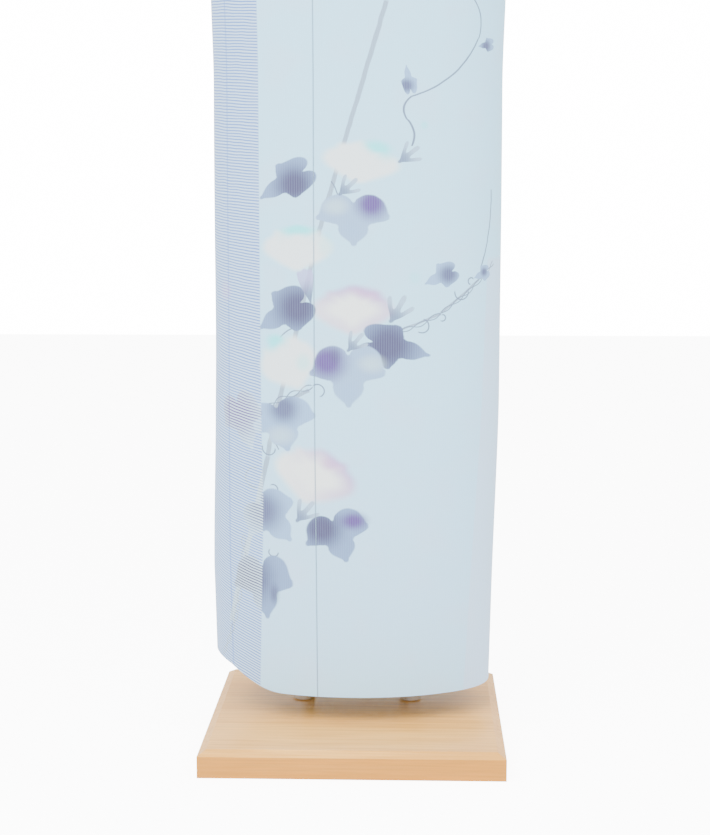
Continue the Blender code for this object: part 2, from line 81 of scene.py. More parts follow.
# Across the bodice
NECK_X = 0.090
SIDE_GAP = 0.013
CHEST_DEPTH = 0.112
BACK_DEPTH = 0.104
CHEST_ROUND = 2.3  # how square the arch over the chest is, and the one at the sleeve
SLEEVE_ROUND = 6.0
FRONT_START = -0.028  # how far a front's edge passes centre front at the armhole's height
FRONT_OVER = 0.0112  # how far the left front stands over the right one there
BODICE_SHIFT = 0.07  # the upper cloth lies this much nearer centre front in the print
SLEEVE_END = SHOULDER_CUT + SLEEVE_WIDE
SLEEVE_PRINT = 1.40  # where the shoulder line lies in the print

# Round the body a place is 0 at centre front, 1 at the side seam and 2 at centre back.
SIDE_SEAM = 0.36
HALF_ROUND = 0.436  # centre front to centre back, along the cloth
OKUMI_SEAM = 0.287
OKUMI_EDGE = 1.164
FRONT_COLUMNS = (-OKUMI_SEAM, -0.17, 0.0, 0.17, OKUMI_SEAM, 0.50, 0.64, 0.76, 0.88, 1.0)
BACK_COLUMNS = (1.0, 1.06, 1.112, OKUMI_EDGE, 1.216, 1.27, 1.33, 1.42, 1.54, 1.68, 1.79, 1.90, 2.0)
OKUMI_COLUMNS = (OKUMI_SEAM, 0.50, 0.64, 0.76, 0.88, 1.0, 1.06, 1.112, OKUMI_EDGE)
SHOULDER_STRIPS = len(FRONT_COLUMNS) - 1
SEAM_PLACE = 0.00096  # half a seam's gap beside the overlap panel, as a place
BACK_SEAM_PLACE = 0.00054

# How far the wrapped cloth stands round the body: height, half width, half depth
BODY = (
    (0.050, 0.1635, 0.1010),
    (0.110, 0.1650, 0.1020),
    (0.210, 0.1674, 0.1030),
    (0.420, 0.1735, 0.1060),
    (0.670, 0.1738, 0.1075),
    (0.910, 0.1722, 0.1085),
    (0.985, 0.1680, 0.1065),
    (1.030, 0.1500, 0.1020),
    (1.160, 0.1500, 0.1020),
    (1.300, 0.1500, 0.1020),
)
SQUARENESS = 2.35
# How far the loose edge of the left overlap panel stands off: height, distance
FLARE = (
    (0.000, 0.0115),
    (0.100, 0.0115),
    (0.210, 0.0115),
    (0.420, 0.0010),
    (0.670, -0.0010),
    (0.900, -0.0015),
    (0.985, 0.0),
    (1.300, 0.0),
)
FLARE_END = OKUMI_EDGE + 0.1
# How far the left front stands over the right one, down the skirt and at the waist fold
OVER_LOW = 0.0032
OVER_HIGH = 0.0082
COLLAR_LIFT = 0.0035
COLLAR_STANDS = 0.034
SASH_LIFT = 0.0019
SASH_LAP = 0.0022
SASH_WALL = 0.0012
SASH_START = 0.17  # places of the sash's two ends
SASH_END = 0.64

# How finely the cloth is divided
SKIRT_ROWS = 84
CHEST_ROWS = 6
ARCH_ROWS = 28
SASH_PARTS = 6
COLLAR_POINTS = 9
GUARD_START = 20  # rows of the collar that its guard leaves bare, at the left front and at the right
GUARD_END = 10

# Lines on the cloth, across it from centre front
PRESSED_LINE = -0.0453  # the front seam
STITCHED_LINE = -0.1540  # along the turned loose edge
LOOSE_HIGH = -0.1085  # where the single layer starts, 24 cm above the hem and at it
LOOSE_LOW = -0.1185
SIDE_SEAM_HIGH = 0.1595  # the side seam, 53 cm above the hem and at it
SIDE_SEAM_LOW = 0.137

# The print
PRINT_EDGE = 0.175  # from centre front to the repeat's left edge
PRINT_STEP = 0.31  # each repeat beside the first starts this much higher
CROSSING = 0.017  # along a vine, from one crossing of its strands to the next
SOFT_EDGE = 0.0004  # half the width over which a stem's dye fades out

PRINTED = "Silk gauze, printed"
SHADED_LOOSE_EDGE = "Silk gauze, printed, loose edge"
LIT_WRONG_SIDE = "Silk gauze, wrong side"
SASH_SILK = "Sash silk, ribbed weave"
WHITE = (1.0, 1.0, 1.0, 1.0)
BLACK = (0.0, 0.0, 0.0, 1.0)

# The studio
CAMERA_PLACE = (0.0698, -2.1112, 0.679)
CAMERA_DOWN = 7.51
CAMERA_TURN = 1.94
LIGHT_SIZE = 2.4
LIGHT_TARGET = Vector((0.0, 0.0, 0.4))

LEFT, RIGHT = 1, -1
FRONT, BACK = -1, 1


def paint(code):
    """A hex sRGB colour as linear values with alpha."""
    values = [int(code[i:i + 2], 16) / 255 for i in (1, 3, 5)]
    return tuple(c / 12.92 if c <= 0.04045 else ((c + 0.055) / 1.055) ** 2.4 for c in values) + (1.0,)


def colour(name, code, description):
    return FloatVectorProperty(
        name=name, description=description, subtype="COLOR", size=4, min=0.0, max=1.0, default=paint(code)
    )


def length(name, metres, description):
    return FloatProperty(name=name, description=description, unit="LENGTH", precision=5, default=metres)


class KimonoCloth(PropertyGroup):
    wall: length("Cloth wall", 0.0012, "Thickness of one wall of the silk gauze")
    rib: length("Rib", 0.0027, "Distance between the fine ribs that run up the cloth")
    gauze_rib: length("Gauze rib", 0.0035, "Distance between the open rows of a single layer")
    repeat_wide: length("Repeat, across", 0.38, "Width of the print's repeat")
    repeat_high: length("Repeat, along", 0.84, "Height of the print's repeat")
    fineness: IntProperty(
        name="Fineness", description="Parts of each strip of cloth", default=8, min=2, max=16
    )
    ground: colour("Ground", "#a9e0fc", "Silk gauze over another layer, pale blue")
    ground_low: colour("Ground, low", "#abd8f6", "The same near the hem, where less lies under it")
    single: colour("Single layer", "#d2f0ff", "The open rows of gauze with nothing under it")
    # Painted shade: past the side seam, where the cloth turns away round the side; the same colour tints the
    # dye bath's faint clouds.
    side_shade_and_cloud: colour("Shade past the side seam", "#c0cfec", "Shade past the side seam, where the turnings lie")
    # The periwinkle is partly painted shade: the shade of the hollow behind the single layer, seen through
    # it.
    shaded_single_row: colour("Single layer, woven rows, shaded", "#6084c6", "The closed rows between them, periwinkle")
    # Partly painted shade: the pressed fold's fine line, with the shade of the seam's gap painted into it.
    pressed: colour("Pressed seam, with its shade", "#6f8ca6", "The fine line where a seam is pressed flat")


class KimonoPrint(PropertyGroup):
    dusk: colour("Leaf, dusk", "#433f64", "Deep purple-grey of the darker leaves")
    dusk_pale: colour("Leaf, dusk rim", "#6f8ab4", "Where a dark leaf pales")
    violet: colour("Leaf, violet", "#543a80", "The violet lobe of a pale leaf")
    violet_pale: colour("Leaf, violet rim", "#86a8ce", "The rest of a leaf with a violet lobe")
    mist: colour("Leaf, mist", "#535a80", "Heart of a blue-grey leaf")
    mist_pale: colour("Leaf, mist rim", "#82a6d0", "Rim of a blue-grey leaf")
    cream: colour("Flower throat", "#f7efe4", "Near white of a flower's throat")
    aqua: colour("Flower rim, aqua", "#4fe8ee", "Pale aqua rim")
    rose: colour("Flower rim, rose", "#b97fc0", "Pale pink-mauve rim")
    mint: colour("Leaf tint", "#cfeeea", "Pale mint on the light lobes of a leaf")
    lilac: colour("Bud", "#a3a6da", "Pale lilac of a bud")
    stem: colour("Stem", "#66748f", "Vines and tendrils")
    cane: colour("Cane", "#8aa2ba", "The cane they climb, and the vine's old wood")
    calyx: colour("Calyx", "#93adc9", "The pale fingers behind a flower")


class StandFinish(PropertyGroup):
    beech: colour("Beech", "#eeb25a", "Lacquered beech, in the grain's light bands")
    beech_dark: colour("Beech, late wood", "#dc9c42", "The grain's darker bands")
    # Partly painted shade: the upright sides are darkened against the light that falls on them, besides their
    # cut grain's own darker tone.
    beech_side_shade: colour("Beech, sides, shaded", "#c47f1c", "The board's cut sides, which take more lacquer")
    grain: length("Grain", 0.0035, "Width of one band of grain")
    chrome: colour("Chrome", "#d9dade", "Chromium plate")
    jersey: colour("Jersey", "#ece7de", "Cotton jersey stretched over the form")
    knit: length("Knit", 0.0022, "Width of one wale of the jersey, drawn twice as coarse as it is")


class SashCloth(PropertyGroup):
    ground: colour("Sash", "#dfe2e8", "Tightly woven silk, near white")
    stripe: colour("Sash stripe", "#a9b3cf", "The two woven stripes along its edges")
    rib: length("Sash rib", 0.002, "Distance between its crosswise ribs")


class StudioLook(PropertyGroup):
    floor: colour("Floor", "#fbfbfa", "Plain pale floor")
    world: colour("Room", "#ffffff", "Light from all round")
    room: FloatProperty(name="Room light", description="Light from all round", default=1.9, min=0.0)
    backdrop: FloatProperty(name="Backdrop", description="Brightness of the backdrop", default=16.0, min=0.0)
    floor_glow: FloatProperty(name="Floor glow", description="The floor's own light", default=9.0, min=0.0)
    key: FloatProperty(name="Key light", description="Power of the large soft light", default=190.0, min=0.0)
    fill: FloatProperty(name="Fill light", description="Power from the other side", default=70.0, min=0.0)
    lens: FloatProperty(name="Lens", description="Focal length", unit="CAMERA", default=74.5)


def blend(a, b, t):
    return a + (b - a) * t


def blended(a, b, t):
    """Two colours, blended."""
    return tuple(blend(x, y, t) for x, y in zip(a, b))


def smooth(start, end, x):
    t = min(1.0, max(0.0, (x - start) / (end - start)))
    return t * t * (3 - 2 * t)


def finer(stops, parts):
    """The same stops with each stretch between two of them cut into equal parts."""
    cut = [blend(a, b, i / parts) for a, b in zip(stops, stops[1:]) for i in range(parts)]
    return cut + [stops[-1]]


def read(table, height, column):
    """A table's value at a height, on a smooth curve through its rows."""
    last = len(table) - 2
    i = 0
    while i < last and height > table[i + 1][0]:
        i += 1
    a, b = table[i], table[i + 1]
    before, after = table[max(i - 1, 0)], table[min(i + 2, len(table) - 1)]
    span = b[0] - a[0]
    t = min(1.0, max(0.0, (height - a[0]) / span))
    slope_a = (b[column] - before[column]) / (b[0] - before[0]) * span
    slope_b = (after[column] - a[column]) / (after[0] - a[0]) * span
    rise = b[column] - a[column]
    if slope_a * rise <= 0 or slope_b * rise <= 0:
        slope_a = slope_b = 0.0
    return (
        a[column] * (2 * t**3 - 3 * t**2 + 1)
        + slope_a * (t**3 - 2 * t**2 + t)
        + b[column] * (3 * t**2 - 2 * t**3)
        + slope_b * (t**3 - t**2)
    )


@lru_cache(None)
def ring(centimetre):
    """Half the plan curve at a height in whole centimetres, and how far along each of its points is."""
    z = centimetre / 100
    wide, deep = read(BODY, z, 1), read(BODY, z, 2)
    points = []
    for i in range(361):
        turn = math.pi * (i / 360 - 0.5)
        power = 2 / SQUARENESS
        x = wide * abs(math.cos(turn)) ** power
        y = math.copysign(deep * abs(math.sin(turn)) ** power, turn)
        points.append(Vector((x, y)))
    along = [0.0]
    for a, b in zip(points, points[1:]):
        along.append(along[-1] + (b - a).length)
    return points, along


@lru_cache(None)
def on_ring(centimetre, share):
    """A point of that curve at a share of its length, and the direction out of it."""
    points, along = ring(centimetre)
    want = share * along[-1]
    i = 1
    while i < len(along) - 1 and along[i] < want:
        i += 1
    t = (want - along[i - 1]) / (along[i] - along[i - 1])
    spot = points[i - 1].lerp(points[i], t)
    before, after = points[max(i - 4, 0)], points[min(i + 3, len(points) - 1)]
    if share < 0.004:
        out = Vector((0, -1))
    elif share > 0.996:
        out = Vector((0, 1))
    else:
        run = (after - before).normalized()
        out = Vector((run.y, -run.x))
    return spot, out


def hanging_fold(place, z):
    """Soft folds of the hanging skirt. Every layer has the same ones, so the layers stay apart."""
    low = 1 - smooth(0.10, 0.80, z)
    back = smooth(0.9, 1.5, abs(place))
    swing = math.sin(7.1 * place + 2.0 * z + 0.6) + 0.6 * math.sin(12.7 * place - 3.1 * z + 2.0)
    waist = smooth(0.86, 0.97, z) * (1 - smooth(1.04, 1.06, z))
    tuck = math.sin(23 * place + 1.3) * math.sin(9 * place)
    hung = 0.0014 * swing * back * (0.3 + low) * (1 - smooth(0.85, 1.0, z))
    return 0.0004 * swing * low + hung + 0.0008 * tuck * waist


def round_body(place, z, off, side=LEFT):
    """A point of the wrapped cloth: its place round the body, its height and how far it lies out."""
    k = abs(place)
    share = SIDE_SEAM * k if k <= 1 else SIDE_SEAM + (1 - SIDE_SEAM) * (k - 1)
    share = round(share, 6)
    low = math.floor(z * 100)
    t = z * 100 - low
    spot, out = on_ring(low, share)
    next_spot, next_out = on_ring(low + 1, share)
    hand = side if place >= 0 else -side
    spot = spot.lerp(next_spot, t) + out.lerp(next_out, t) * (off + hanging_fold(hand * k, z))
    return Vector((hand * spot.x, BODY_Y + spot.y, z))


def across_body(place, side):
    """How far across the print a place lies from centre front, along the cloth."""
    k = abs(place)
    share = SIDE_SEAM * k if k <= 1 else SIDE_SEAM + (1 - SIDE_SEAM) * (k - 1)
    return (side if place >= 0 else -side) * share * HALF_ROUND


def over_step(z):
    return blend(OVER_LOW, OVER_HIGH, smooth(0.80, 0.96, z))


def panel_off(side, place, z):
    if side == RIGHT:
        return 0.0
    return over_step(z) * (1 - smooth(1.19, 1.45, place))


def shoulder_height(x):
    return blend(NECK_SIDE, SHOULDER, smooth(0.09, 0.21, x))


def squareness(x):
    """How square the arch over the shoulder is: rounder at the chest, nearly a box at the sleeve."""
    return blend(CHEST_ROUND, SLEEVE_ROUND, smooth(0.12, 0.28, x))


def chest_fold(x, degrees, face):
    """Soft folds that rise from the sash towards the sleeves, none at the seams and the collar."""
    wide = abs(x)
    room = smooth(0.115, 0.17, wide) * (1 - smooth(0.24, 0.305, wide))
    fade = 1 - smooth(20, 74, degrees)
    start = 0.9 if face == FRONT else 2.2
    return 0.0030 * face * room * fade * math.sin(58 * (wide - 0.0016 * degrees) + start)


def bodice(x, degrees, face, off=0.0):
    """A point of the upper cloth, on an arch from armhole height over the shoulder."""
    wide = abs(x)
    deep = CHEST_DEPTH if face == FRONT else BACK_DEPTH
    deep = SIDE_GAP + (deep - SIDE_GAP) * (1 + math.cos(math.pi * min(1.0, wide / SHOULDER_CUT))) / 2
    rise = shoulder_height(wide) - ARMHOLE
    power = 2 / squareness(wide)
    c, s = max(math.cos(math.radians(degrees)), 0.0), max(math.sin(math.radians(degrees)), 0.0)
    out = Vector((0, face * c ** (2 - power) / deep, s ** (2 - power) / rise)).normalized()
    spot = Vector((x, BODY_Y + face * deep * c**power, ARMHOLE + rise * s**power))
    spot = spot + out * off
    spot.y += chest_fold(x, degrees, face)
    return spot


def front_edge(degrees):
    climb = math.sin(math.radians(degrees)) ** (2 / CHEST_ROUND)
    return blend(FRONT_START, NECK_X, climb)


def front_off(side, x, degrees):
    if side == RIGHT:
        return 0.0
    return FRONT_OVER * (1 - smooth(0.12, 0.26, abs(x))) * (1 - smooth(46, 82, degrees))


def back_top(x):
    return 90 - 34 * (1 - min(1.0, abs(x) / NECK_X) ** 2)


def mirrored(point, side):
    return Vector((side * point.x, point.y, point.z))


def front_point(side, share, degrees):
    edge = front_edge(degrees)
    x = blend(edge, SHOULDER_CUT - SEAM / 2, share)
    return mirrored(bodice(x, degrees, FRONT, front_off(side, x, degrees)), side)


def wrapped_rows(hem, top):
    """Up the skirt, then up, down and up again through the waist fold: height and distance out."""
    turn = FOLD_STEP / 2
    bends = [math.radians(a) for a in (45, 90, 135)]
    rows = [(blend(hem, FOLD_LOW, i / SKIRT_ROWS), 0.0) for i in range(SKIRT_ROWS)]
    rows += [(blend(FOLD_LOW, FOLD_HIGH - turn, i / 5), 0.0) for i in range(6)]
    rows += [(FOLD_HIGH - turn + turn * math.sin(a), turn - turn * math.cos(a)) for a in bends]
    rows += [(blend(FOLD_HIGH - turn, FOLD_LOW + turn, i / 5), FOLD_STEP) for i in range(6)]
    rows += [(FOLD_LOW + turn - turn * math.sin(a), FOLD_STEP + turn - turn * math.cos(a)) for a in bends]
    rows += [(blend(FOLD_LOW + turn, FOLD_HIGH, i / 6), 2 * FOLD_STEP) for i in range(6)]
    rows += [(blend(FOLD_HIGH, top, i / 4), 2 * FOLD_STEP) for i in range(5)]
    return rows


def panel_hem(side, place):
    if side == LEFT:
        return HEM + 0.002 * smooth(0.0, 1.0, place)
    return HEM + 0.003 + 0.037 * smooth(0.50, 1.05, place) * (1 - smooth(1.20, 1.80, place))


def on_front(side, x, z, off):
    """A point on the front between the sash and the armhole's height, or on the arch above it."""
    if z >= ARMHOLE:
        rise = shoulder_height(abs(x)) - ARMHOLE
        climb = min(1.0, ((z - ARMHOLE) / rise) ** (squareness(abs(x)) / 2))
        degrees = math.degrees(math.asin(climb))
        return mirrored(bodice(x, degrees, FRONT, off + front_off(side, x, degrees)), side)
    low, high = 0.0, 1.0
    t = max(0.0, (z - SASH_CLEAR) / (ARMHOLE - SASH_CLEAR))
    for _ in range(24):
        share = (low + high) / 2
        place = blend(-OKUMI_SEAM - 0.5, 1.0, share)
        start_off = panel_off(side, max(place, 0), SASH_CLEAR) + 2 * FOLD_STEP
        start = round_body(place, min(z, SASH_CLEAR), start_off + off)
        over = (place + OKUMI_SEAM) / (1 + OKUMI_SEAM)
        x_high = blend(front_edge(0), SHOULDER_CUT, over)
        finish = bodice(x_high, 0, FRONT, off + front_off(side, x_high, 0))
        spot = start.lerp(finish, t)
        if spot.x < x:
            low = share
        else:
            high = share
    spot.z = z
    return mirrored(spot, side)


def measured(line, across, start=0.0):
    """A line of cloth from its lowest point up: each point with its place on the cloth."""
    run, laid = start, []
    for i, spot in enumerate(line):
        if i:
            run += (spot - line[i - 1]).length
        laid.append((spot, (across[i], run)))
    return laid


def spread(shape, lines):
    """Spreads a grid over lines of points, each line one column of the cloth. Returns its vertices."""
    columns, rows = len(lines) - 1, len(lines[0]) - 1
    made = bmesh.ops.create_grid(shape, x_segments=columns, y_segments=rows, size=0.5)["verts"]
    on_cloth = shape.loops.layers.uv.verify()
    places = {}
    for vert in made:
        column = round((vert.co.x + 0.5) * columns)
        row = round((vert.co.y + 0.5) * rows)
        vert.co, places[vert] = lines[column][row]
    for face in {face for vert in made for face in vert.link_faces}:
        for corner in face.loops:
            corner[on_cloth].uv = places[corner.vert]
    return made


def cloth_piece(name, shape, slot, wall, *finishes):
    """Joins a piece's seams, gives it its wall and hangs it on the body in place of its solid.

    A second finish is for the inner face of its wall.
    """
    bmesh.ops.remove_doubles(shape, verts=shape.verts, dist=0.00002)
    bmesh.ops.recalc_face_normals(shape, faces=shape.faces)
    for face in shape.faces:
        face.smooth = True
    for edge in shape.edges:
        edge.smooth = not edge.is_boundary
    mesh = bpy.data.meshes.new(name + "_cloth")
    shape.to_mesh(mesh)
    shape.free()
    piece = bpy.data.objects.new(name + "_cloth", mesh)
    bpy.context.scene.collection.objects.link(piece)
    for finish in finishes:
        mesh.materials.append(bpy.data.materials[finish])
    solid = piece.modifiers.new("wall", "SOLIDIFY")
    solid.thickness = wall
    solid.offset = 0.0
    solid.use_even_offset = True
    solid.material_offset = solid.material_offset_rim = len(finishes) - 1
    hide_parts(name)
    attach(piece, "root")
    return piece


def node(tree, kind, sockets=None, out=0, **settings):
    """Adds a shader node with its settings, and a value or a link at each socket. Gives one output."""
    made = tree.nodes.new("ShaderNode" + kind)
    for key, value in settings.items():
        setattr(made, key, value)
    for socket, value in (sockets or {}).items():
        if isinstance(value, bpy.types.NodeSocket):
            tree.links.new(value, made.inputs[socket])
        else:
            made.inputs[socket].default_value = value
    return made.outputs[out]


def group(name, sockets):
    """A node group that takes the sockets named and gives a colour: its tree and what it is given."""
    tree = bpy.data.node_groups.new(name, "ShaderNodeTree")
    for label, kind in sockets.items():
        tree.interface.new_socket(label, in_out="INPUT", socket_type="NodeSocket" + kind)
    tree.interface.new_socket("Colour", in_out="OUTPUT", socket_type="NodeSocketColor")
    return tree, tree.nodes.new("NodeGroupInput").outputs


def grouped(tree, colour):
    """Ends a node group with the colour that it gives."""
    tree.links.new(colour, tree.nodes.new("NodeGroupOutput").inputs[0])
    return tree


PLACED = {"Under": "Color", "Cloth": "Vector", "Spot": "Vector", "Across": "Vector", "Up": "Vector"}


def placed(tree, given):
    """A printed shape's own two coordinates, from its spot on the cloth and its two directions."""
    gone = node(tree, "VectorMath", {0: given["Cloth"], 1: given["Spot"]}, operation="SUBTRACT")
    return [
        node(tree, "VectorMath", {0: gone, 1: given[way]}, "Value", operation="DOT_PRODUCT")
        for way in ("Across", "Up")]


def laid(x, y, turn, wide=1.0, high=1.0):
    """The input values that put a printed shape at a spot, turned and sized."""
    c, s = math.cos(math.radians(turn)), math.sin(math.radians(turn))
    return {"Spot": (x, y, 0.0), "Across": (c / wide, s / wide, 0.0), "Up": (-s / high, c / high, 0.0)}


def dyed(tree, given, cover, dye):
    """Ends a printed shape's group: its dye lies over the cloth wherever it covers."""
    return grouped(tree, node(tree, "Mix", {0: cover, 6: given["Under"], 7: dye}, 2, data_type="RGBA"))


def from_line(tree, value, line):
    """How far a value lies from a line, to either side."""
    gone = node(tree, "Math", {0: value, 1: line}, operation="SUBTRACT")
    return node(tree, "Math", {0: gone}, operation="ABSOLUTE")


def from_middle(tree, parts):
    """How far a point lies from a printed shape's middle."""
    spot = node(tree, "CombineXYZ", {0: parts[0], 1: parts[1]})
    return node(tree, "VectorMath", {0: spot}, "Value", operation="LENGTH")


def outline(tree, parts, points):
    """How far a printed shape reaches in the direction of a point, from a curve round its middle."""
    turn = node(tree, "Math", {0: parts[1], 1: parts[0]}, operation="ARCTAN2")
    share = node(tree, "MapRange", {0: turn, 1: -math.pi, 2: math.pi})
    reach = node(tree, "FloatCurve", {"Value": share})
    mapping = reach.node.mapping
    curve = mapping.curves[0]
    curve.points[0].location, curve.points[1].location = points[0], points[-1]
    for point in points[1:-1]:
        curve.points.new(*point)
    mapping.update()
    return reach


def motif(name, points, edge, rim=0.0):
    """A printed leaf or flower: an outline round its spot, deep in one place and paling from it.

    With a rim, the deep colour keeps to that width inside the outline.
    """
    tree, given = group(name, PLACED | {
        "Cover": "Float", "Deep": "Color", "Pale": "Color", "Deep spot": "Vector", "Deep reach": "Float"})
    parts = placed(tree, given)
    inside = outline(tree, parts, points)
    inside = node(tree, "Math", {0: inside, 1: from_middle(tree, parts)}, operation="SUBTRACT")
    cover = node(tree, "MapRange", {0: inside, 1: -edge, 2: edge, 4: given["Cover"]},
                 interpolation_type="SMOOTHSTEP")
    gone = node(tree, "VectorMath", {0: given["Cloth"], 1: given["Deep spot"]}, "Value", operation="DISTANCE")
    gone = node(tree, "Math", {0: gone, 1: given["Deep reach"]}, operation="DIVIDE")
    depth = node(tree, "MapRange", {0: gone, 1: 1.35, 2: 0.25}, interpolation_type="SMOOTHSTEP")
    if rim:
        at_rim = node(tree, "MapRange", {0: inside, 1: rim, 2: 0.0}, interpolation_type="SMOOTHSTEP")
        depth = node(tree, "Math", {0: depth, 1: at_rim}, operation="MULTIPLY")
    tone = node(tree, "Mix", {0: depth, 6: given["Pale"], 7: given["Deep"]}, 2, data_type="RGBA")
    return dyed(tree, given, cover, tone)


def strand(name, twisted):
    """A printed stem along a line: one straight cane, or two strands twisted round each other."""
    tree, given = group(name, PLACED | {
        "Length": "Float", "Bow": "Float", "Swing": "Float", "Half width": "Float", "Stem": "Color"})
    along, away = placed(tree, given)
    share = node(tree, "Math", {0: along, 1: given["Length"]}, operation="DIVIDE")
    middle = from_line(tree, share, 0.5)
    ends = node(tree, "MapRange", {0: middle, 1: 0.51, 2: 0.49})
    if twisted:
        bow = node(tree, "Math", {0: middle, 1: middle}, operation="MULTIPLY")
        bow = node(tree, "Math", {0: bow, 1: -4.0, 2: 1.0}, operation="MULTIPLY_ADD")
        bow = node(tree, "Math", {0: bow, 1: given["Bow"]}, operation="MULTIPLY")
        swing = node(tree, "Math", {0: along, 1: math.pi / CROSSING}, operation="MULTIPLY")
        swing = node(tree, "Math", {0: swing}, operation="SINE")
        swing = node(tree, "Math", {0: swing}, operation="ABSOLUTE")
        swing = node(tree, "Math", {0: swing, 1: given["Swing"]}, operation="MULTIPLY")
        away = from_line(tree, from_line(tree, away, bow), swing)
    else:
        away = node(tree, "Math", {0: away}, operation="ABSOLUTE")
    inside = node(tree, "Math", {0: given["Half width"], 1: away}, operation="SUBTRACT")
    cover = node(tree, "MapRange", {0: inside, 1: -SOFT_EDGE, 2: SOFT_EDGE})
    cover = node(tree, "Math", {0: cover, 1: ends}, operation="MULTIPLY")
    return dyed(tree, given, cover, given["Stem"])


def curl(name):
    """A printed tendril's hook: half a fine ring."""
    tree, given = group(name, PLACED | {"Radius": "Float", "Stem": "Color"})
    parts = placed(tree, given)
    away = from_line(tree, from_middle(tree, parts), given["Radius"])
    cover = node(tree, "MapRange", {0: away, 1: 0.0011, 2: 0.0004})
    half = node(tree, "MapRange", {0: parts[1], 1: -0.0025, 2: 0.0})
    cover = node(tree, "Math", {0: cover, 1: half}, operation="MULTIPLY")
    return dyed(tree, given, cover, given["Stem"])


def blot(name):
    """A soft round patch of dye, deepest at its middle."""
    tree, given = group(name, PLACED | {"Cover": "Float", "Dye": "Color"})
    gone = from_middle(tree, placed(tree, given))
    cover = node(tree, "MapRange", {0: gone, 1: 1.3, 2: 0.2, 4: given["Cover"]},
                 interpolation_type="SMOOTHSTEP")
    return dyed(tree, given, cover, given["Dye"])


def both_sides(*corners):
    """An outline from its right half: degrees from straight down to straight up, with the reach at each.

    It comes back as shares of a full turn from the left, round by below, as the outline's curve takes them.
    """
    right = [((degrees + 180) / 360, reach) for degrees, reach in corners]
    left = [(-degrees / 360 % 1.0, reach) for degrees, reach in corners if abs(degrees) < 90]
    return tuple(sorted(right + left)) + ((1.0, dict(corners)[0]),)


# Outlines, from straight down round by the right to straight up: degrees and reach
LEAF_OUTLINE = both_sides(
    (-90, 0.38), (-80, 0.50), (-68, 0.65), (-54, 0.79), (-40, 0.88), (-24, 0.93), (-10, 0.93), (0, 0.96),
    (8, 1.06), (13, 0.95), (20, 0.80), (30, 0.65), (41, 0.58), (52, 0.68), (63, 0.79), (75, 0.87), (84, 0.96),
    (90, 1.07),
)
FLOWER_OUTLINE = both_sides(
    (-90, 0.97), (-70, 0.86), (-45, 0.83), (-20, 0.92), (0, 1.0), (22, 0.98), (40, 0.93), (52, 1.0),
    (64, 0.93), (76, 0.96), (90, 1.02),
)
CALYX_OUTLINE = both_sides(
    (-90, 0.08), (0, 0.08), (36, 0.12), (48, 0.60), (56, 0.94), (62, 0.82), (69, 0.46), (76, 0.48),
    (83, 0.86), (90, 1.02),
)
BUD_OUTLINE = both_sides(
    (-90, 0.05), (0, 0.05), (44, 0.10), (58, 0.42), (66, 0.90), (71, 1.0), (80, 0.97), (90, 1.0),
)

# The print's repeat, in metres across and up from centre front at the hem.
# Canes and the vine's old wood: foot, turn in degrees, length, half width
CANES = (
    (0.035, 0.832, -105.9, 0.175, 0.0026), (-0.013, 0.663, -105.3, 0.101, 0.0026),
    (-0.039, 0.566, -102.7, 0.137, 0.0026), (-0.070, 0.432, -103.3, 0.138, 0.0028),
    (-0.101, 0.297, -104.3, 0.218, 0.0030), (-0.106, 0.349, 28, 0.062, 0.0024),
    (0.036, 0.444, 22, 0.066, 0.0013), (0.097, 0.470, 38, 0.062, 0.0015),
)
# Vines: foot, turn, length, bow, swing of two strands (0 is one strand), half width
VINES = (
    (0.131, 0.838, -77.6, 0.048, 0.0075, 0.0, 0.0008), (0.141, 0.791, -139, 0.104, 0.011, 0.0, 0.0009),
    (0.063, 0.723, -99.7, 0.028, -0.0065, 0.0, 0.0012), (0.0585, 0.696, -81, 0.031, 0.0045, 0.0, 0.0012),
    (0.034, 0.444, 22, 0.068, -0.003, 0.0024, 0.0006),
    (0.097, 0.470, 38, 0.094, -0.002, 0.0021, 0.0006), (0.149, 0.523, 80, 0.094, -0.005, 0.0, 0.0008),
    (-0.106, 0.352, 28, 0.066, 0.002, 0.0030, 0.0007), (-0.135, 0.196, -97, 0.095, 0.003, 0.0026, 0.0007),
    (-0.146, 0.101, -113, 0.068, 0.003, 0.0022, 0.0007), (-0.026, 0.625, -75, 0.032, 0.003, 0.0, 0.0007),
    (-0.084, 0.440, 35, 0.022, 0.002, 0.0, 0.0008), (-0.098, 0.322, -60, 0.020, 0.001, 0.0, 0.0007),
)
# Hooks of the tendrils: middle, radius, turn
CURLS = (
    (0.1225, 0.4935, 0.0085, 180), (0.0755, 0.4546, 0.0080, -110), (-0.0417, 0.3777, 0.0075, -60),
    (0.1350, 0.5067, 0.0040, 60), (-0.1000, 0.3060, 0.0080, 170), (-0.1180, 0.2690, 0.0125, 90),
    (-0.0970, 0.1786, 0.0060, 160), (-0.0960, 0.2560, 0.0060, -80), (0.0990, 0.4640, 0.0040, -100),
)
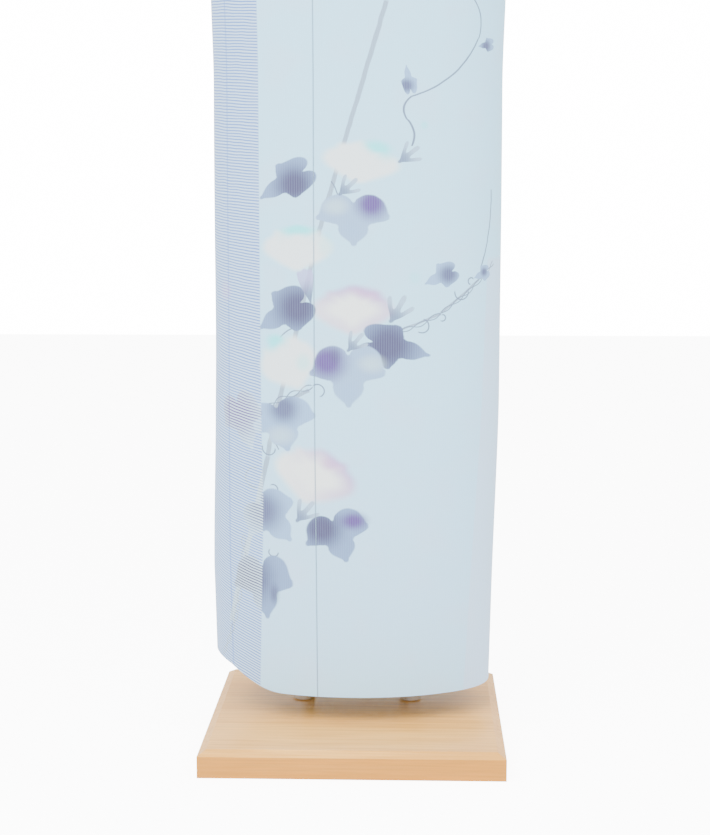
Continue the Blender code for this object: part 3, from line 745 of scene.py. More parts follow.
# Leaves: heart, the way the middle lobe points, half width, length, deep spot, its reach, kind
LEAVES = (
    (-0.070, 0.628, 212, 0.022, 0.041, -0.067, 0.621, 0.025, "dusk"),
    (-0.001, 0.587, 270, 0.040, 0.035, 0.019, 0.599, 0.020, "violet"),
    (-0.073, 0.474, 213, 0.027, 0.041, -0.064, 0.476, 0.030, "dusk"),
    (0.037, 0.432, 345, 0.026, 0.047, 0.038, 0.432, 0.036, "dusk"),
    (-0.007, 0.404, 270, 0.042, 0.043, -0.031, 0.412, 0.025, "violet"),
    (-0.086, 0.342, 284, 0.042, 0.037, -0.081, 0.355, 0.020, "mist"),
    (0.102, 0.515, 205, 0.015, 0.024, 0.106, 0.515, 0.013, "mist"),
    (0.154, 0.516, 200, 0.010, 0.015, 0.154, 0.517, 0.006, "mist"),
    (-0.136, 0.345, 290, 0.029, 0.042, -0.140, 0.348, 0.036, "violet"),
    (-0.102, 0.225, 310, 0.035, 0.039, -0.111, 0.229, 0.029, "mist"),
    (-0.021, 0.207, 288, 0.038, 0.037, -0.038, 0.210, 0.026, "dusk"),
    (-0.111, 0.143, 275, 0.037, 0.046, -0.132, 0.145, 0.036, "dusk"),
    (0.157, 0.785, 190, 0.008, 0.015, 0.153, 0.783, 0.008, "mist"),
    (0.060, 0.738, 100, 0.0085, 0.020, 0.057, 0.735, 0.009, "mist"),
)
# Flowers: middle, turn, half width, half height, where the rim is deepest, its reach, rim
FLOWERS = (
    (0.007, 0.6465, -8, 0.042, 0.024, 0.027, 0.665, 0.020, "aqua"),
    (-0.064, 0.546, 0, 0.039, 0.0265, -0.063, 0.568, 0.022, "aqua"),
    (-0.002, 0.473, 0, 0.045, 0.029, 0.008, 0.500, 0.066, "rose"),
    (-0.075, 0.410, 25, 0.033, 0.033, -0.092, 0.437, 0.017, "aqua"),
    (-0.046, 0.273, -20, 0.048, 0.034, -0.011, 0.288, 0.060, "rose"),
)
# Soft patches of dye over them: middle, turn, half width, half height, cover, dye
BLOTS = (
    (0.027, 0.665, -15, 0.017, 0.008, 0.70, "aqua"), (-0.063, 0.568, 0, 0.022, 0.0065, 0.75, "aqua"),
    (-0.032, 0.550, 0, 0.010, 0.016, 0.25, "aqua"), (-0.0915, 0.437, 0, 0.012, 0.009, 0.70, "aqua"),
    (-0.0575, 0.411, 0, 0.010, 0.012, 0.35, "aqua"), (0.067, 0.512, 0, 0.008, 0.009, 0.25, "aqua"),
    (0.077, 0.690, 0, 0.005, 0.006, 0.40, "aqua"), (0.013, 0.494, -15, 0.022, 0.009, 0.45, "rose"),
    (0.0195, 0.410, 0, 0.017, 0.012, 0.32, "mint"), (-0.021, 0.5955, 0, 0.016, 0.011, 0.32, "mint"),
    (-0.085, 0.322, 0, 0.020, 0.013, 0.30, "mint"), (-0.160, 0.494, 0, 0.011, 0.014, 0.35, "rose"),
    (-0.007, 0.376, 0, 0.014, 0.014, 0.60, "mist_pale"), (-0.003, 0.570, 0, 0.012, 0.012, 0.50, "mist_pale"),
    (-0.022, 0.420, 0, 0.008, 0.011, 0.45, "dusk"), (-0.028, 0.288, -20, 0.017, 0.009, 0.50, "rose"),
    (-0.001, 0.220, 0, 0.018, 0.012, 1.0, "violet"), (-0.097, 0.126, 0, 0.007, 0.014, 0.65, "dusk"),
)
# Calyxes and a bud: foot, the way it points, length, kind
CALYXES = (
    (-0.016, 0.610, 43, 0.026, "calyx"), (0.050, 0.648, 38, 0.027, "calyx"),
    (-0.007, 0.426, 50, 0.026, "calyx"), (0.041, 0.461, 62, 0.033, "calyx"),
    (-0.067, 0.219, 50, 0.030, "calyx"), (-0.049, 0.483, 101, 0.040, "bud"),
)


def vine_print(cloth, dyes):
    """The whole print on one repeat of the cloth: a climbing vine with leaves and trumpet flowers."""
    leaf = motif("Printed leaf", LEAF_OUTLINE, 0.035)
    flower = motif("Printed flower", FLOWER_OUTLINE, 0.16, rim=0.60)
    calyx = motif("Printed calyx", CALYX_OUTLINE, 0.04)
    bud = motif("Printed bud", BUD_OUTLINE, 0.04)
    patch = blot("Printed patch")
    cane, vine, loop = strand("Printed cane", False), strand("Printed vine", True), curl("Printed curl")

    tree, given = group("Vine print", {"Cloth": "Vector", "Ground": "Color"})
    across, up = node(tree, "SeparateXYZ", {0: given["Cloth"]}).node.outputs[:2]
    count = node(tree, "Math", {0: across, 1: PRINT_EDGE}, operation="ADD")
    count = node(tree, "Math", {0: count, 1: cloth.repeat_wide}, operation="DIVIDE")
    count = node(tree, "Math", {0: count}, operation="FLOOR")
    across = node(tree, "Math", {0: count, 1: -cloth.repeat_wide, 2: across}, operation="MULTIPLY_ADD")
    up = node(tree, "Math", {0: count, 1: PRINT_STEP, 2: up}, operation="MULTIPLY_ADD")
    up = node(tree, "Math", {0: up, 1: cloth.repeat_high}, operation="FLOORED_MODULO")
    spot = node(tree, "CombineXYZ", {0: across, 1: up})
    # dye creeps a millimetre or so along the threads, so no edge is quite even
    creep = node(tree, "TexNoise", {"Vector": spot, "Scale": 55.0, "Detail": 1.0}, "Color")
    creep = node(tree, "VectorMath", {0: creep, 1: (0.5, 0.5, 0.5)}, operation="SUBTRACT")
    creep = node(tree, "VectorMath", {0: creep, "Scale": 0.002}, operation="SCALE")
    spot = node(tree, "VectorMath", {0: spot, 1: creep}, operation="ADD")
    flat = node(tree, "VectorMath", {0: spot, 1: (1.0, 1.0, 0.0)}, operation="MULTIPLY")

    prints = [
        (cane, laid(x, y, turn) | {"Length": size, "Half width": half, "Stem": dyes.cane})
        for x, y, turn, size, half in CANES]
    for x, y, turn, size, bow, swing, half in VINES:
        line = {"Length": size, "Bow": bow, "Swing": swing, "Half width": half, "Stem": dyes.stem}
        prints.append((vine, laid(x, y, turn) | line))
    prints += [
        (loop, laid(x, y, turn) | {"Radius": radius, "Stem": dyes.stem}) for x, y, radius, turn in CURLS]
    for x, y, turn, wide, high, deep_x, deep_y, reach, rim in FLOWERS:
        # thin dye, so the ground tints it; the aqua flowers are the fainter ones
        tint = 0.40 if rim == "aqua" else 0.28
        deep, pale = [blended(dye, cloth.ground, tint) for dye in (getattr(dyes, rim), dyes.cream)]
        prints.append((flower, laid(x, y, turn, wide, high) | {
            "Cover": 1.0, "Deep": deep, "Pale": pale,
            "Deep spot": (deep_x, deep_y, 0.0), "Deep reach": reach}))
    for x, y, turn, wide, high, deep_x, deep_y, reach, kind in LEAVES:
        prints.append((leaf, laid(x, y, turn - 90, wide, high) | {
            "Cover": 1.0, "Deep": getattr(dyes, kind), "Pale": getattr(dyes, kind + "_pale"),
            "Deep spot": (deep_x, deep_y, 0.0), "Deep reach": reach}))
    prints += [
        (patch, laid(x, y, turn, wide, high) | {"Cover": cover, "Dye": getattr(dyes, kind)})
        for x, y, turn, wide, high, cover, kind in BLOTS]
    for x, y, turn, size, kind in CALYXES:
        shape, width, pale = (bud, 0.62, dyes.lilac) if kind == "bud" else (calyx, 0.9, dyes.calyx)
        prints.append((shape, laid(x, y, turn - 90, size * width, size) | {
            "Cover": 0.85, "Deep": dyes.mist, "Pale": pale,
            "Deep spot": (x, y, 0.0), "Deep reach": 0.6 * size}))
    under = given["Ground"]
    for shape, values in prints:
        under = node(tree, "Group", {"Under": under, "Cloth": flat} | values, node_tree=shape)
    return grouped(tree, under)


def material(name, values):
    """A new material with its shader's own values set: the material, its tree and its shader's sockets."""
    made = bpy.data.materials.new(name)
    made.use_nodes = True
    sockets = made.node_tree.nodes["Principled BSDF"].inputs
    for label, value in values.items():
        sockets[label].default_value = value
    return made, made.node_tree, sockets


def finished(tree, sockets, tone, relief, strength, depth):
    """Gives a shader its colour, and a relief of that strength and depth."""
    tree.links.new(tone, sockets["Base Color"])
    bump = node(tree, "Bump", {"Strength": strength, "Distance": depth, "Height": relief})
    tree.links.new(bump, sockets["Normal"])


def ribbed(tree, spot, step):
    """A wave from 0 to 1 across fine ribs of the weave, one every step."""
    wave = node(tree, "Math", {0: spot, 1: 2 * math.pi / step}, operation="MULTIPLY")
    wave = node(tree, "Math", {0: wave}, operation="SINE")
    return node(tree, "MapRange", {0: wave, 1: -1.0, 2: 1.0})


def streaks(tree, spot, scale, detail=2.0, rough=0.5):
    """Uneven streaks, so many to the metre each way."""
    spot = node(tree, "Mapping", {"Vector": spot, "Scale": scale})
    return node(tree, "TexNoise", {"Vector": spot, "Scale": 1.0, "Detail": detail, "Roughness": rough})


def gauze_finish(name, printed, cloth, single_edge=False):
    """Silk gauze, woven with open ribs and printed by hand: matt, with a soft sheen at its edges.

    With single_edge, the part beyond 11 cm from centre front has nothing under it: its ribs show clear
    and its colour turns to periwinkle, as the overlap panel's loose edge does; the periwinkle is partly the
    woven rows' own colour and partly painted shade, the shade of the hollow behind the single layer.
    """
    _, tree, sockets = material(name, {
        "Roughness": 0.62, "Specular IOR Level": 0.35, "Sheen Weight": 0.18, "Sheen Roughness": 0.45})
    spot = node(tree, "UVMap")
    across, up = node(tree, "SeparateXYZ", {0: spot}).node.outputs[:2]
    rise = node(tree, "MapRange", {0: up, 1: 0.0, 2: 0.55}, interpolation_type="SMOOTHSTEP")
    ground = node(tree, "Mix", {0: rise, 6: cloth.ground_low, 7: cloth.ground}, 2, data_type="RGBA")
    rib = ribbed(tree, across, cloth.rib)
    # threads about 1 mm apart, drawn as coarse as they need to show
    thread, weft = streaks(tree, spot, (900.0, 60.0, 1.0)), streaks(tree, spot, (25.0, 420.0, 1.0))
    relief = node(tree, "Math", {0: rib, 1: 0.35, 2: thread}, operation="MULTIPLY_ADD")
    # The dye bath left faint lilac clouds, about 6 cm across.
    cloud = node(tree, "TexNoise", {"Vector": spot, "Scale": 16.0, "Detail": 1.0})
    cloud = node(tree, "MapRange", {0: cloud, 1: 0.48, 2: 0.72, 4: 0.22}, interpolation_type="SMOOTHSTEP")
    ground = node(tree, "Mix", {0: cloud, 6: ground, 7: cloth.side_shade_and_cloud}, 2, data_type="RGBA")
    # Painted shade past the side seam, which comes forward towards the hem: the cloth turning away round the
    # side is mixed half way to the side shade colour.
    beside = node(tree, "MapRange", {0: up, 1: 0.0, 2: 0.53, 3: SIDE_SEAM_LOW, 4: SIDE_SEAM_HIGH})
    beside = node(tree, "Math", {0: across, 1: beside}, operation="SUBTRACT")
    beside = node(tree, "MapRange", {0: beside, 1: 0.0, 2: 0.001, 4: 0.5})
    lower = node(tree, "MapRange", {0: up, 1: 0.536, 2: 0.531})
    beside = node(tree, "Math", {0: beside, 1: lower}, operation="MULTIPLY")
    ground = node(tree, "Mix", {0: beside, 6: ground, 7: cloth.side_shade_and_cloud}, 2, data_type="RGBA")
    if single_edge:
        bend = node(tree, "MapRange", {0: up, 1: 0.24, 2: 0.0, 3: LOOSE_HIGH, 4: LOOSE_LOW})
        beyond = node(tree, "Math", {0: bend, 1: across}, operation="SUBTRACT")
        beyond = node(tree, "MapRange", {0: beyond, 1: -0.0006, 2: 0.0006})
        # Its rows slope down to the right, and more so towards the hem, where the edge swings out.
        slope = node(tree, "MapRange", {0: up, 1: 0.0, 2: 0.60, 3: 0.46, 4: 0.085})
        inward = node(tree, "Math", {0: across, 1: 0.13}, operation="ADD")
        level = node(tree, "Math", {0: slope, 1: inward, 2: up}, operation="MULTIPLY_ADD")
        uneven = node(tree, "TexNoise", {"Vector": spot, "Scale": 42.0, "Detail": 1.0})
        level = node(tree, "Math", {0: uneven, 1: 0.0026, 2: level}, operation="MULTIPLY_ADD")
        open_rib = ribbed(tree, level, cloth.gauze_rib)
        # Painted shade: beyond the loose line the ground takes the shaded periwinkle, the woven rows darkened
        # by the hollow behind the single layer.
        ground = node(tree, "Mix", {0: beyond, 6: ground, 7: cloth.shaded_single_row}, 2, data_type="RGBA")
    tone = node(tree, "Group", {"Cloth": spot, "Ground": ground}, node_tree=printed)
    # The ribs take less dye, so they show inside the motifs; on the bare cloth they hardly do.
    bare = node(tree, "Math", {0: rib, 1: 0.07}, operation="MULTIPLY")
    tone = node(tree, "Mix", {0: bare, 6: tone, 7: ground}, 2, data_type="RGBA")
    # The front seam is pressed flat below the waist fold; its fine darker line is the fold's own line with
    # the shade of the seam's gap painted in.
    line = from_line(tree, across, PRESSED_LINE)
    line = node(tree, "MapRange", {0: line, 1: 0.0009, 2: 0.0004, 4: 0.65})
    below = node(tree, "MapRange", {0: up, 1: 0.93, 2: 0.92})
    line = node(tree, "Math", {0: line, 1: below}, operation="MULTIPLY")
    tone = node(tree, "Mix", {0: line, 6: tone, 7: cloth.pressed}, 2, data_type="RGBA")
    worn = node(tree, "Math", {0: rib, 1: thread}, operation="MULTIPLY")
    worn = node(tree, "Math", {0: worn, 1: weft}, operation="ADD")
    shade = node(tree, "MapRange", {0: worn, 1: 0.2, 2: 1.1, 3: 0.980, 4: 1.012})
    tone = node(tree, "VectorMath", {0: tone, "Scale": shade}, operation="SCALE")
    if single_edge:
        # The open rows let light through and take less dye, so they stay pale between the woven ones.
        open_rib = node(tree, "MapRange", {0: open_rib, 1: 0.15, 2: 0.70, 3: 0.0, 4: 0.66},
                        interpolation_type="SMOOTHSTEP")
        # The edge is turned under and stitched, and there the rows close up in a line.
        hemmed = from_line(tree, across, STITCHED_LINE)
        hemmed = node(tree, "MapRange", {0: hemmed, 1: 0.0006, 2: 0.0014, 3: 0.45})
        open_rib = node(tree, "Math", {0: open_rib, 1: hemmed}, operation="MULTIPLY")
        open_rib = node(tree, "Math", {0: open_rib, 1: beyond}, operation="MULTIPLY")
        tone = node(tree, "Mix", {0: open_rib, 6: tone, 7: cloth.single}, 2, data_type="RGBA")
        relief = node(tree, "Math", {0: open_rib, 1: -0.8, 2: relief}, operation="MULTIPLY_ADD")
    finished(tree, sockets, tone, relief, 0.5, 0.00025)


def lit_wrong_side_finish(cloth):
    """The gauze's wrong side: paler, as the dye barely comes through, and paler still with painted light, for
    the light that comes through the thin cloth into the hollows behind it; with the same open ribs.
    """
    _, tree, sockets = material(LIT_WRONG_SIDE, {
        "Roughness": 0.7, "Specular IOR Level": 0.3, "Sheen Weight": 0.15})
    across = node(tree, "SeparateXYZ", {0: node(tree, "UVMap")})
    rib = ribbed(tree, across, cloth.rib)
    # Painted light: the pale tone also stands for light coming through the thin cloth into the hollows behind
    # it.
    pale = blended(cloth.ground, WHITE, 0.62)
    tone = node(tree, "Mix", {0: rib, 6: blended(pale, cloth.ground, 0.2), 7: pale}, 2, data_type="RGBA")
    finished(tree, sockets, tone, rib, 0.4, 0.00025)


def sash_finish(sash):
    """Tightly woven sash silk: crosswise ribs and two lengthwise stripes, with a quiet lustre."""
    _, tree, sockets = material(SASH_SILK, {"Roughness": 0.42, "Sheen Weight": 0.15})
    across, along = node(tree, "SeparateXYZ", {0: node(tree, "UVMap")}).node.outputs[:2]
    stripe = from_line(tree, from_line(tree, across, (SASH_HIGH - SASH_LOW) / 2), 0.036)
    stripe = node(tree, "MapRange", {0: stripe, 1: 0.0038, 2: 0.0032})
    tone = node(tree, "Mix", {0: stripe, 6: sash.ground, 7: sash.stripe}, 2, data_type="RGBA")
    rib = ribbed(tree, along, sash.rib)
    shade = node(tree, "MapRange", {0: rib, 3: 0.9, 4: 1.02})
    tone = node(tree, "VectorMath", {0: tone, "Scale": shade}, operation="SCALE")
    finished(tree, sockets, tone, rib, 0.6, 0.0003)


def beech_finish(stand):
    """Beech, planed and lacquered: straight fine grain, short dark flecks and a glossy coat."""
    made, tree, sockets = material("Beech, lacquered", {
        "Roughness": 0.45, "Specular IOR Level": 0.3, "Coat Weight": 0.35, "Coat Roughness": 0.22})
    spot = node(tree, "TexCoord", out="Object")
    bands = 1 / stand.grain
    grain = streaks(tree, spot, (6.0, bands * 0.5, bands), 3.0, 0.6)
    broad = streaks(tree, spot, (2.0, 16.0, 22.0), 1.0)
    late = node(tree, "Math", {0: broad, 1: 0.6, 2: grain}, operation="MULTIPLY_ADD")
    late = node(tree, "MapRange", {0: late, 1: 0.62, 2: 1.0}, interpolation_type="SMOOTHSTEP")
    wood = node(tree, "Mix", {0: late, 6: stand.beech, 7: stand.beech_dark}, 2, data_type="RGBA")
    # Painted shade: the upright sides turn darker than the top, partly the cut grain's own tone and partly
    # shade painted against the light on them.
    facing = node(tree, "NewGeometry", out="Normal")
    facing = node(tree, "SeparateXYZ", {0: facing}, 2)
    cut_side_shade = node(tree, "MapRange", {0: facing, 1: 0.9, 2: 0.1, 4: 0.85})
    wood = node(tree, "Mix", {0: cut_side_shade, 6: wood, 7: stand.beech_side_shade}, 2, data_type="RGBA")
    # beech flecks are about 3 mm long and half a millimetre wide
    fleck = node(tree, "Mapping", {"Vector": spot, "Scale": (110.0, 620.0, 620.0)})
    fleck = node(tree, "TexVoronoi", {"Vector": fleck, "Scale": 1.0, "Randomness": 1.0}, feature="F1")
    fleck = node(tree, "MapRange", {0: fleck, 1: 0.16, 2: 0.05, 4: 0.35})
    dark = blended(stand.beech_dark, BLACK, 0.25)
    wood = node(tree, "Mix", {0: fleck, 6: wood, 7: dark}, 2, data_type="RGBA")
    # pores in streaks 1 to 2 mm apart and several centimetres long, on the sides too
    streak = streaks(tree, spot, (12.0, 500.0, 420.0))
    streak = node(tree, "MapRange", {0: streak, 1: 0.3, 2: 0.7, 3: 0.88, 4: 1.08})
    wood = node(tree, "VectorMath", {0: wood, "Scale": streak}, operation="SCALE")
    finished(tree, sockets, wood, grain, 0.15, 0.0002)
    return made


def chrome_finish(stand):
    """Chromium plate on turned steel: a mirror with the faintest buffing marks round it."""
    made, tree, sockets = material("Chromium plate, polished", {"Metallic": 1.0})
    buffed = streaks(tree, node(tree, "TexCoord", out="Object"), (60.0, 60.0, 900.0))
    gloss = node(tree, "MapRange", {0: buffed, 3: 0.05, 4: 0.13})
    tree.links.new(gloss, sockets["Roughness"])
    bright = blended(stand.chrome, WHITE, 0.3)
    tone = node(tree, "Mix", {0: buffed, 6: stand.chrome, 7: bright}, 2, data_type="RGBA")
    tree.links.new(tone, sockets["Base Color"])
    return made


def jersey_finish(stand):
    """Cotton jersey, knitted: matt, with upright wales and a soft bloom."""
    made, tree, sockets = material("Cotton jersey, knitted", {"Roughness": 0.85, "Sheen Weight": 0.2})
    parts = node(tree, "SeparateXYZ", {0: node(tree, "TexCoord", out="Object")}).node.outputs
    wale, course = ribbed(tree, parts[0], stand.knit), ribbed(tree, parts[2], stand.knit * 0.8)
    loops = node(tree, "Math", {0: wale, 1: course}, operation="MULTIPLY")
    deep = blended(stand.jersey, BLACK, 0.12)
    tone = node(tree, "Mix", {0: loops, 6: deep, 7: stand.jersey}, 2, data_type="RGBA")
    finished(tree, sockets, tone, loops, 0.5, 0.0004)
    return made


class KIMONO_OT_finishes(Operator):
    """Dyes and prints the gauze, so that the cloth pieces can take it."""

    bl_idname = "kimono.finishes"
    bl_label = "Dye and print the gauze"

    def execute(self, context):
        cloth = context.scene.kimono_cloth
        printed = vine_print(cloth, context.scene.kimono_print)
        gauze_finish(PRINTED, printed, cloth)
        gauze_finish(SHADED_LOOSE_EDGE, printed, cloth, single_edge=True)
        lit_wrong_side_finish(cloth)
        return {"FINISHED"}


class KIMONO_OT_body_panels(Operator):
    """Left and right body panel: each front, over the shoulder and back in one length of cloth."""

    bl_idname = "kimono.body_panels"
    bl_label = "Body panels"

    def execute(self, context):
        cloth = context.scene.kimono_cloth
        for name, side in (("left_body_panel", LEFT), ("right_body_panel", RIGHT)):
            piece = self.panel(name, side, cloth)
        return {"FINISHED"}

    def panel(self, name, side, cloth):
        front, back = finer(FRONT_COLUMNS, cloth.fineness), finer(BACK_COLUMNS, cloth.fineness)
        tube = []
        for place in front + back[1:]:
            at = min(max(place, SEAM_PLACE - OKUMI_SEAM), 2.0 - BACK_SEAM_PLACE)
            rows = wrapped_rows(panel_hem(side, place), SASH_CLEAR)
            line = [round_body(at, z, panel_off(side, place, z) + out, side) for z, out in rows]
            tube.append(measured(line, [across_body(place, side)] * len(line), rows[0][0] - HEM))
        shape = bmesh.new()
        spread(shape, tube)
        shoulder = SHOULDER_STRIPS * cloth.fineness
        for face, columns in ((FRONT, tube[:len(front)]), (BACK, tube[len(front) - 1:])):
            shift = -BODICE_SHIFT if face == FRONT else HALF_ROUND
            lines = []
            for i, column in enumerate(columns):
                low, (low_across, low_up) = column[-1]
                arch = self.over_shoulder(side, face, i, len(columns) - 1, shoulder)
                over = [side * (shift - face * side * spot.x) for spot in arch]
                steps = [t / CHEST_ROWS for t in range(CHEST_ROWS)]
                line = [low.lerp(arch[0], t) for t in steps] + arch
                across = [blend(low_across, over[0], t) for t in steps] + over
                lines.append(measured(line, across, low_up))
            spread(shape, lines)
        return cloth_piece(name, shape, "gauze", cloth.wall, PRINTED, LIT_WRONG_SIDE)

    def over_shoulder(self, side, face, i, last, shoulder):
        """A column's upper part, from the armhole's height to the shoulder or the neck."""
        turns = [90 * (step / ARCH_ROWS) for step in range(ARCH_ROWS + 1)]
        if face == FRONT:
            return [front_point(side, i / shoulder, degrees) for degrees in turns]
        if i <= shoulder:
            x = blend(SHOULDER_CUT - SEAM / 2, NECK_X, i / shoulder)
        else:
            x = blend(NECK_X, SEAM / 2, (i - shoulder) / (last - shoulder))
        return [mirrored(bodice(x, degrees / 90 * back_top(x), BACK), side) for degrees in turns]


class KIMONO_OT_overlap_panels(Operator):
    """The two overlap panels, from their seam with the front to the loose edge, the left one on top."""

    bl_idname = "kimono.overlap_panels"
    bl_label = "Overlap panels"

    def execute(self, context):
        cloth = context.scene.kimono_cloth
        for name, side in (("left_okumi", LEFT), ("right_okumi", RIGHT)):
            lines = []
            for place in finer(OKUMI_COLUMNS, cloth.fineness):
                hem = self.hem(side, place)
                at = max(place, OKUMI_SEAM + SEAM_PLACE)
                line = []
                for z, out in wrapped_rows(hem, SASH_HIGH - 0.012):
                    if side == LEFT:
                        stand = smooth(0.62, FLARE_END, place) / smooth(0.62, FLARE_END, OKUMI_EDGE)
                        out += over_step(z) + read(FLARE, z, 1) * stand
                    line.append(round_body(at, z, out, -side))
                lines.append(measured(line, [across_body(place, -side)] * len(line), hem - HEM))
            shape = bmesh.new()
            spread(shape, lines)
            finish = SHADED_LOOSE_EDGE if side == LEFT else PRINTED
            piece = cloth_piece(name, shape, "gauze", cloth.wall, finish, LIT_WRONG_SIDE)
        return {"FINISHED"}

    def hem(self, side, place):
        """The hem's height, which climbs to the loose edge, the left one's steeply."""
        lift = smooth(0.55, OKUMI_EDGE, place)
        if side == RIGHT:
            return HEM + 0.004 + 0.020 * lift
        return HEM + 0.004 * (place - OKUMI_SEAM) / (OKUMI_EDGE - OKUMI_SEAM) + 0.035 * lift**1.35


class KIMONO_OT_sleeves(Operator):
    """Both sleeves: folded along the rod, sewn below the hand opening and along the bottom."""

    bl_idname = "kimono.sleeves"
    bl_label = "Sleeves"

    def execute(self, context):
        cloth = context.scene.kimono_cloth
        for name, side in (("left_sleeve", LEFT), ("right_sleeve", RIGHT)):
            shape = bmesh.new()
            spread(shape, self.lines(side))
            piece = cloth_piece(name, shape, "gauze", cloth.wall, PRINTED, LIT_WRONG_SIDE)
        return {"FINISHED"}

    def top_point(self, x, degrees, face):
        """A point on the arch over the rod, a little flatter towards the hand."""
        spot = bodice(SHOULDER_CUT, degrees, face)
        spot.y = BODY_Y + (spot.y - BODY_Y) * blend(1.0, 0.92, smooth(SHOULDER_CUT, SLEEVE_END, x))
        spot.x = x
        return spot

    def bag_point(self, x, nose, down, face, turn=0.0):
        """A point of the hanging bag, a share of the way down, or turned under its closed bottom."""
        past = x - (SLEEVE_END - SLEEVE_CORNER)
        low = SHOULDER - SLEEVE_LONG
        if past > 0:
            low += SLEEVE_CORNER - math.sqrt(max(0.0, SLEEVE_CORNER**2 - past**2))
        z = blend(ARMHOLE, low + SLEEVE_EDGE, down) - SLEEVE_EDGE * math.sin(turn)
        flatter = blend(1.0, 0.92, smooth(SHOULDER_CUT, SLEEVE_END, x))
        open_half = SIDE_GAP * blend(1.0, 0.45, down) * flatter
        side_shut = smooth(0.0, 0.16, down)
        shut = smooth(SLEEVE_END - 0.060, SLEEVE_END - SLEEVE_EDGE, x) * side_shut
        half = blend(open_half, SLEEVE_EDGE, max(shut, smooth(0.86, 1.0, down)))
        half *= blend(1.0, nose, side_shut) * math.cos(turn)
        sway = 0.0075 * smooth(0.0, 0.5, down) * math.sin(30 * (x - SHOULDER_CUT) + 0.8 * down)
        sway += 0.003 * smooth(0.1, 0.7, down) * math.sin(71 * (x - SHOULDER_CUT) - 1.9 * down + 1.0)
        sway *= smooth(SHOULDER_CUT, SHOULDER_CUT + 0.05, x)
        return Vector((x, BODY_Y + face * half + sway, z))

    def lines(self, side):
        """Lines down the front, under the bottom and up the back, from the armhole to the hand."""
        inner, corner = SHOULDER_CUT + SEAM / 2, SLEEVE_END - SLEEVE_CORNER
        stations = [(blend(inner, corner, i / 40), 1.0) for i in range(40)]
        stations += [(corner + (SLEEVE_CORNER - SLEEVE_EDGE) * i / 16, 1.0) for i in range(16)]
        bends = [math.radians(a) for a in (0, 30, 60, 90)]
        stations += [(SLEEVE_END - SLEEVE_EDGE + SLEEVE_EDGE * math.sin(a), math.cos(a)) for a in bends]
        turns = [math.radians(a) for a in (30, 60, 90, 120, 150)]
        lines = []
        for x, nose in stations:
            front, back = [
                [self.top_point(x, 90 * (1 - i / 18), face) for i in range(18)]
                + [self.bag_point(x, nose, i / 36, face) for i in range(37)]
                for face in (FRONT, BACK)]
            bottom = [self.bag_point(x, nose, 1.0, FRONT, turn) for turn in turns]
            down = [0.0]
            for a, b in zip(front, front[1:]):
                down.append(down[-1] + (b - a).length)
            heights = [SLEEVE_PRINT - run for run in down + [down[-1]] * len(bottom) + down[::-1]]
            across = side * (x - BODICE_SHIFT)
            loop = [mirrored(spot, side) for spot in front + bottom + back[::-1]]
            lines.append([(spot, (across, height)) for spot, height in zip(loop, heights)])
        return lines


def collar_lines(side, points):
    """Rows across the collar on one side, from its front end to centre back."""
    shares = [0.5 - i / (points - 1) for i in range(points)]
    start, count = (1.125, 34) if side == LEFT else (1.235, 12)
    rows = []
    for i in range(count + 1):
        z = blend(start, 1.290, i / count)
        middle = blend(FRONT_START, NECK_X, (z - ARMHOLE) / (NECK_SIDE - ARMHOLE))
        rows.append([
            on_front(side, middle + across * COLLAR_WIDE * 0.92, z - across * COLLAR_WIDE * 0.40, COLLAR_LIFT)
            for across in shares])
    for degrees in range(18, 91, 3):
        edge, turned = front_edge(degrees), smooth(55, 90, degrees)
        line = []
        for across in shares:
            x = edge + across * COLLAR_WIDE * blend(0.92, 0.50, turned) + 0.004 * turned
            lean = degrees - across * 9 * (1 - turned)
            lift = COLLAR_LIFT + front_off(side, x, lean) + 0.0012 * turned
            spot = mirrored(bodice(x, lean, FRONT, lift), side)
            spot.z += COLLAR_STANDS * turned * (0.5 - across) ** 2
            line.append(spot)
        rows.append(line)
    for x in (0.088, 0.086, 0.082, 0.078, 0.072, 0.066, 0.057, 0.048, 0.036, 0.025, 0.0125, 0.0):
        turn = smooth(0.0, 1.0, 1 - x / 0.100)
        low = bodice(x + 0.016 * (1 - turn), back_top(x) - 6, BACK, COLLAR_LIFT)
        away = Vector((-0.8 * (1 - turn), blend(0.12, 0.30, turn), blend(0.70, 1.0, turn))).normalized()
        rows.append([mirrored(low + away * COLLAR_WIDE * (0.5 - across), side) for across in shares])
    return rows


def softened(rows, rounds):
    """Rows of points, each drawn towards the rows beside it."""
    for _ in range(rounds):
        drawn = [rows[0]]
        for before, row, after in zip(rows, rows[1:], rows[2:]):
            drawn.append([spot.lerp((a + b) / 2, 0.5) for a, spot, b in zip(before, row, after)])
        rows = drawn + [rows[-1]]
    return rows


def band(rows, wide):
    """Rows across a band, with their places on the cloth: across it and along it."""
    run, lines = 0.0, []
    for i, row in enumerate(rows):
        if i:
            run += (row[len(row) // 2] - rows[i - 1][len(row) // 2]).length
        lines.append([(spot, (wide * k / (len(row) - 1), run)) for k, spot in enumerate(row)])
    return lines


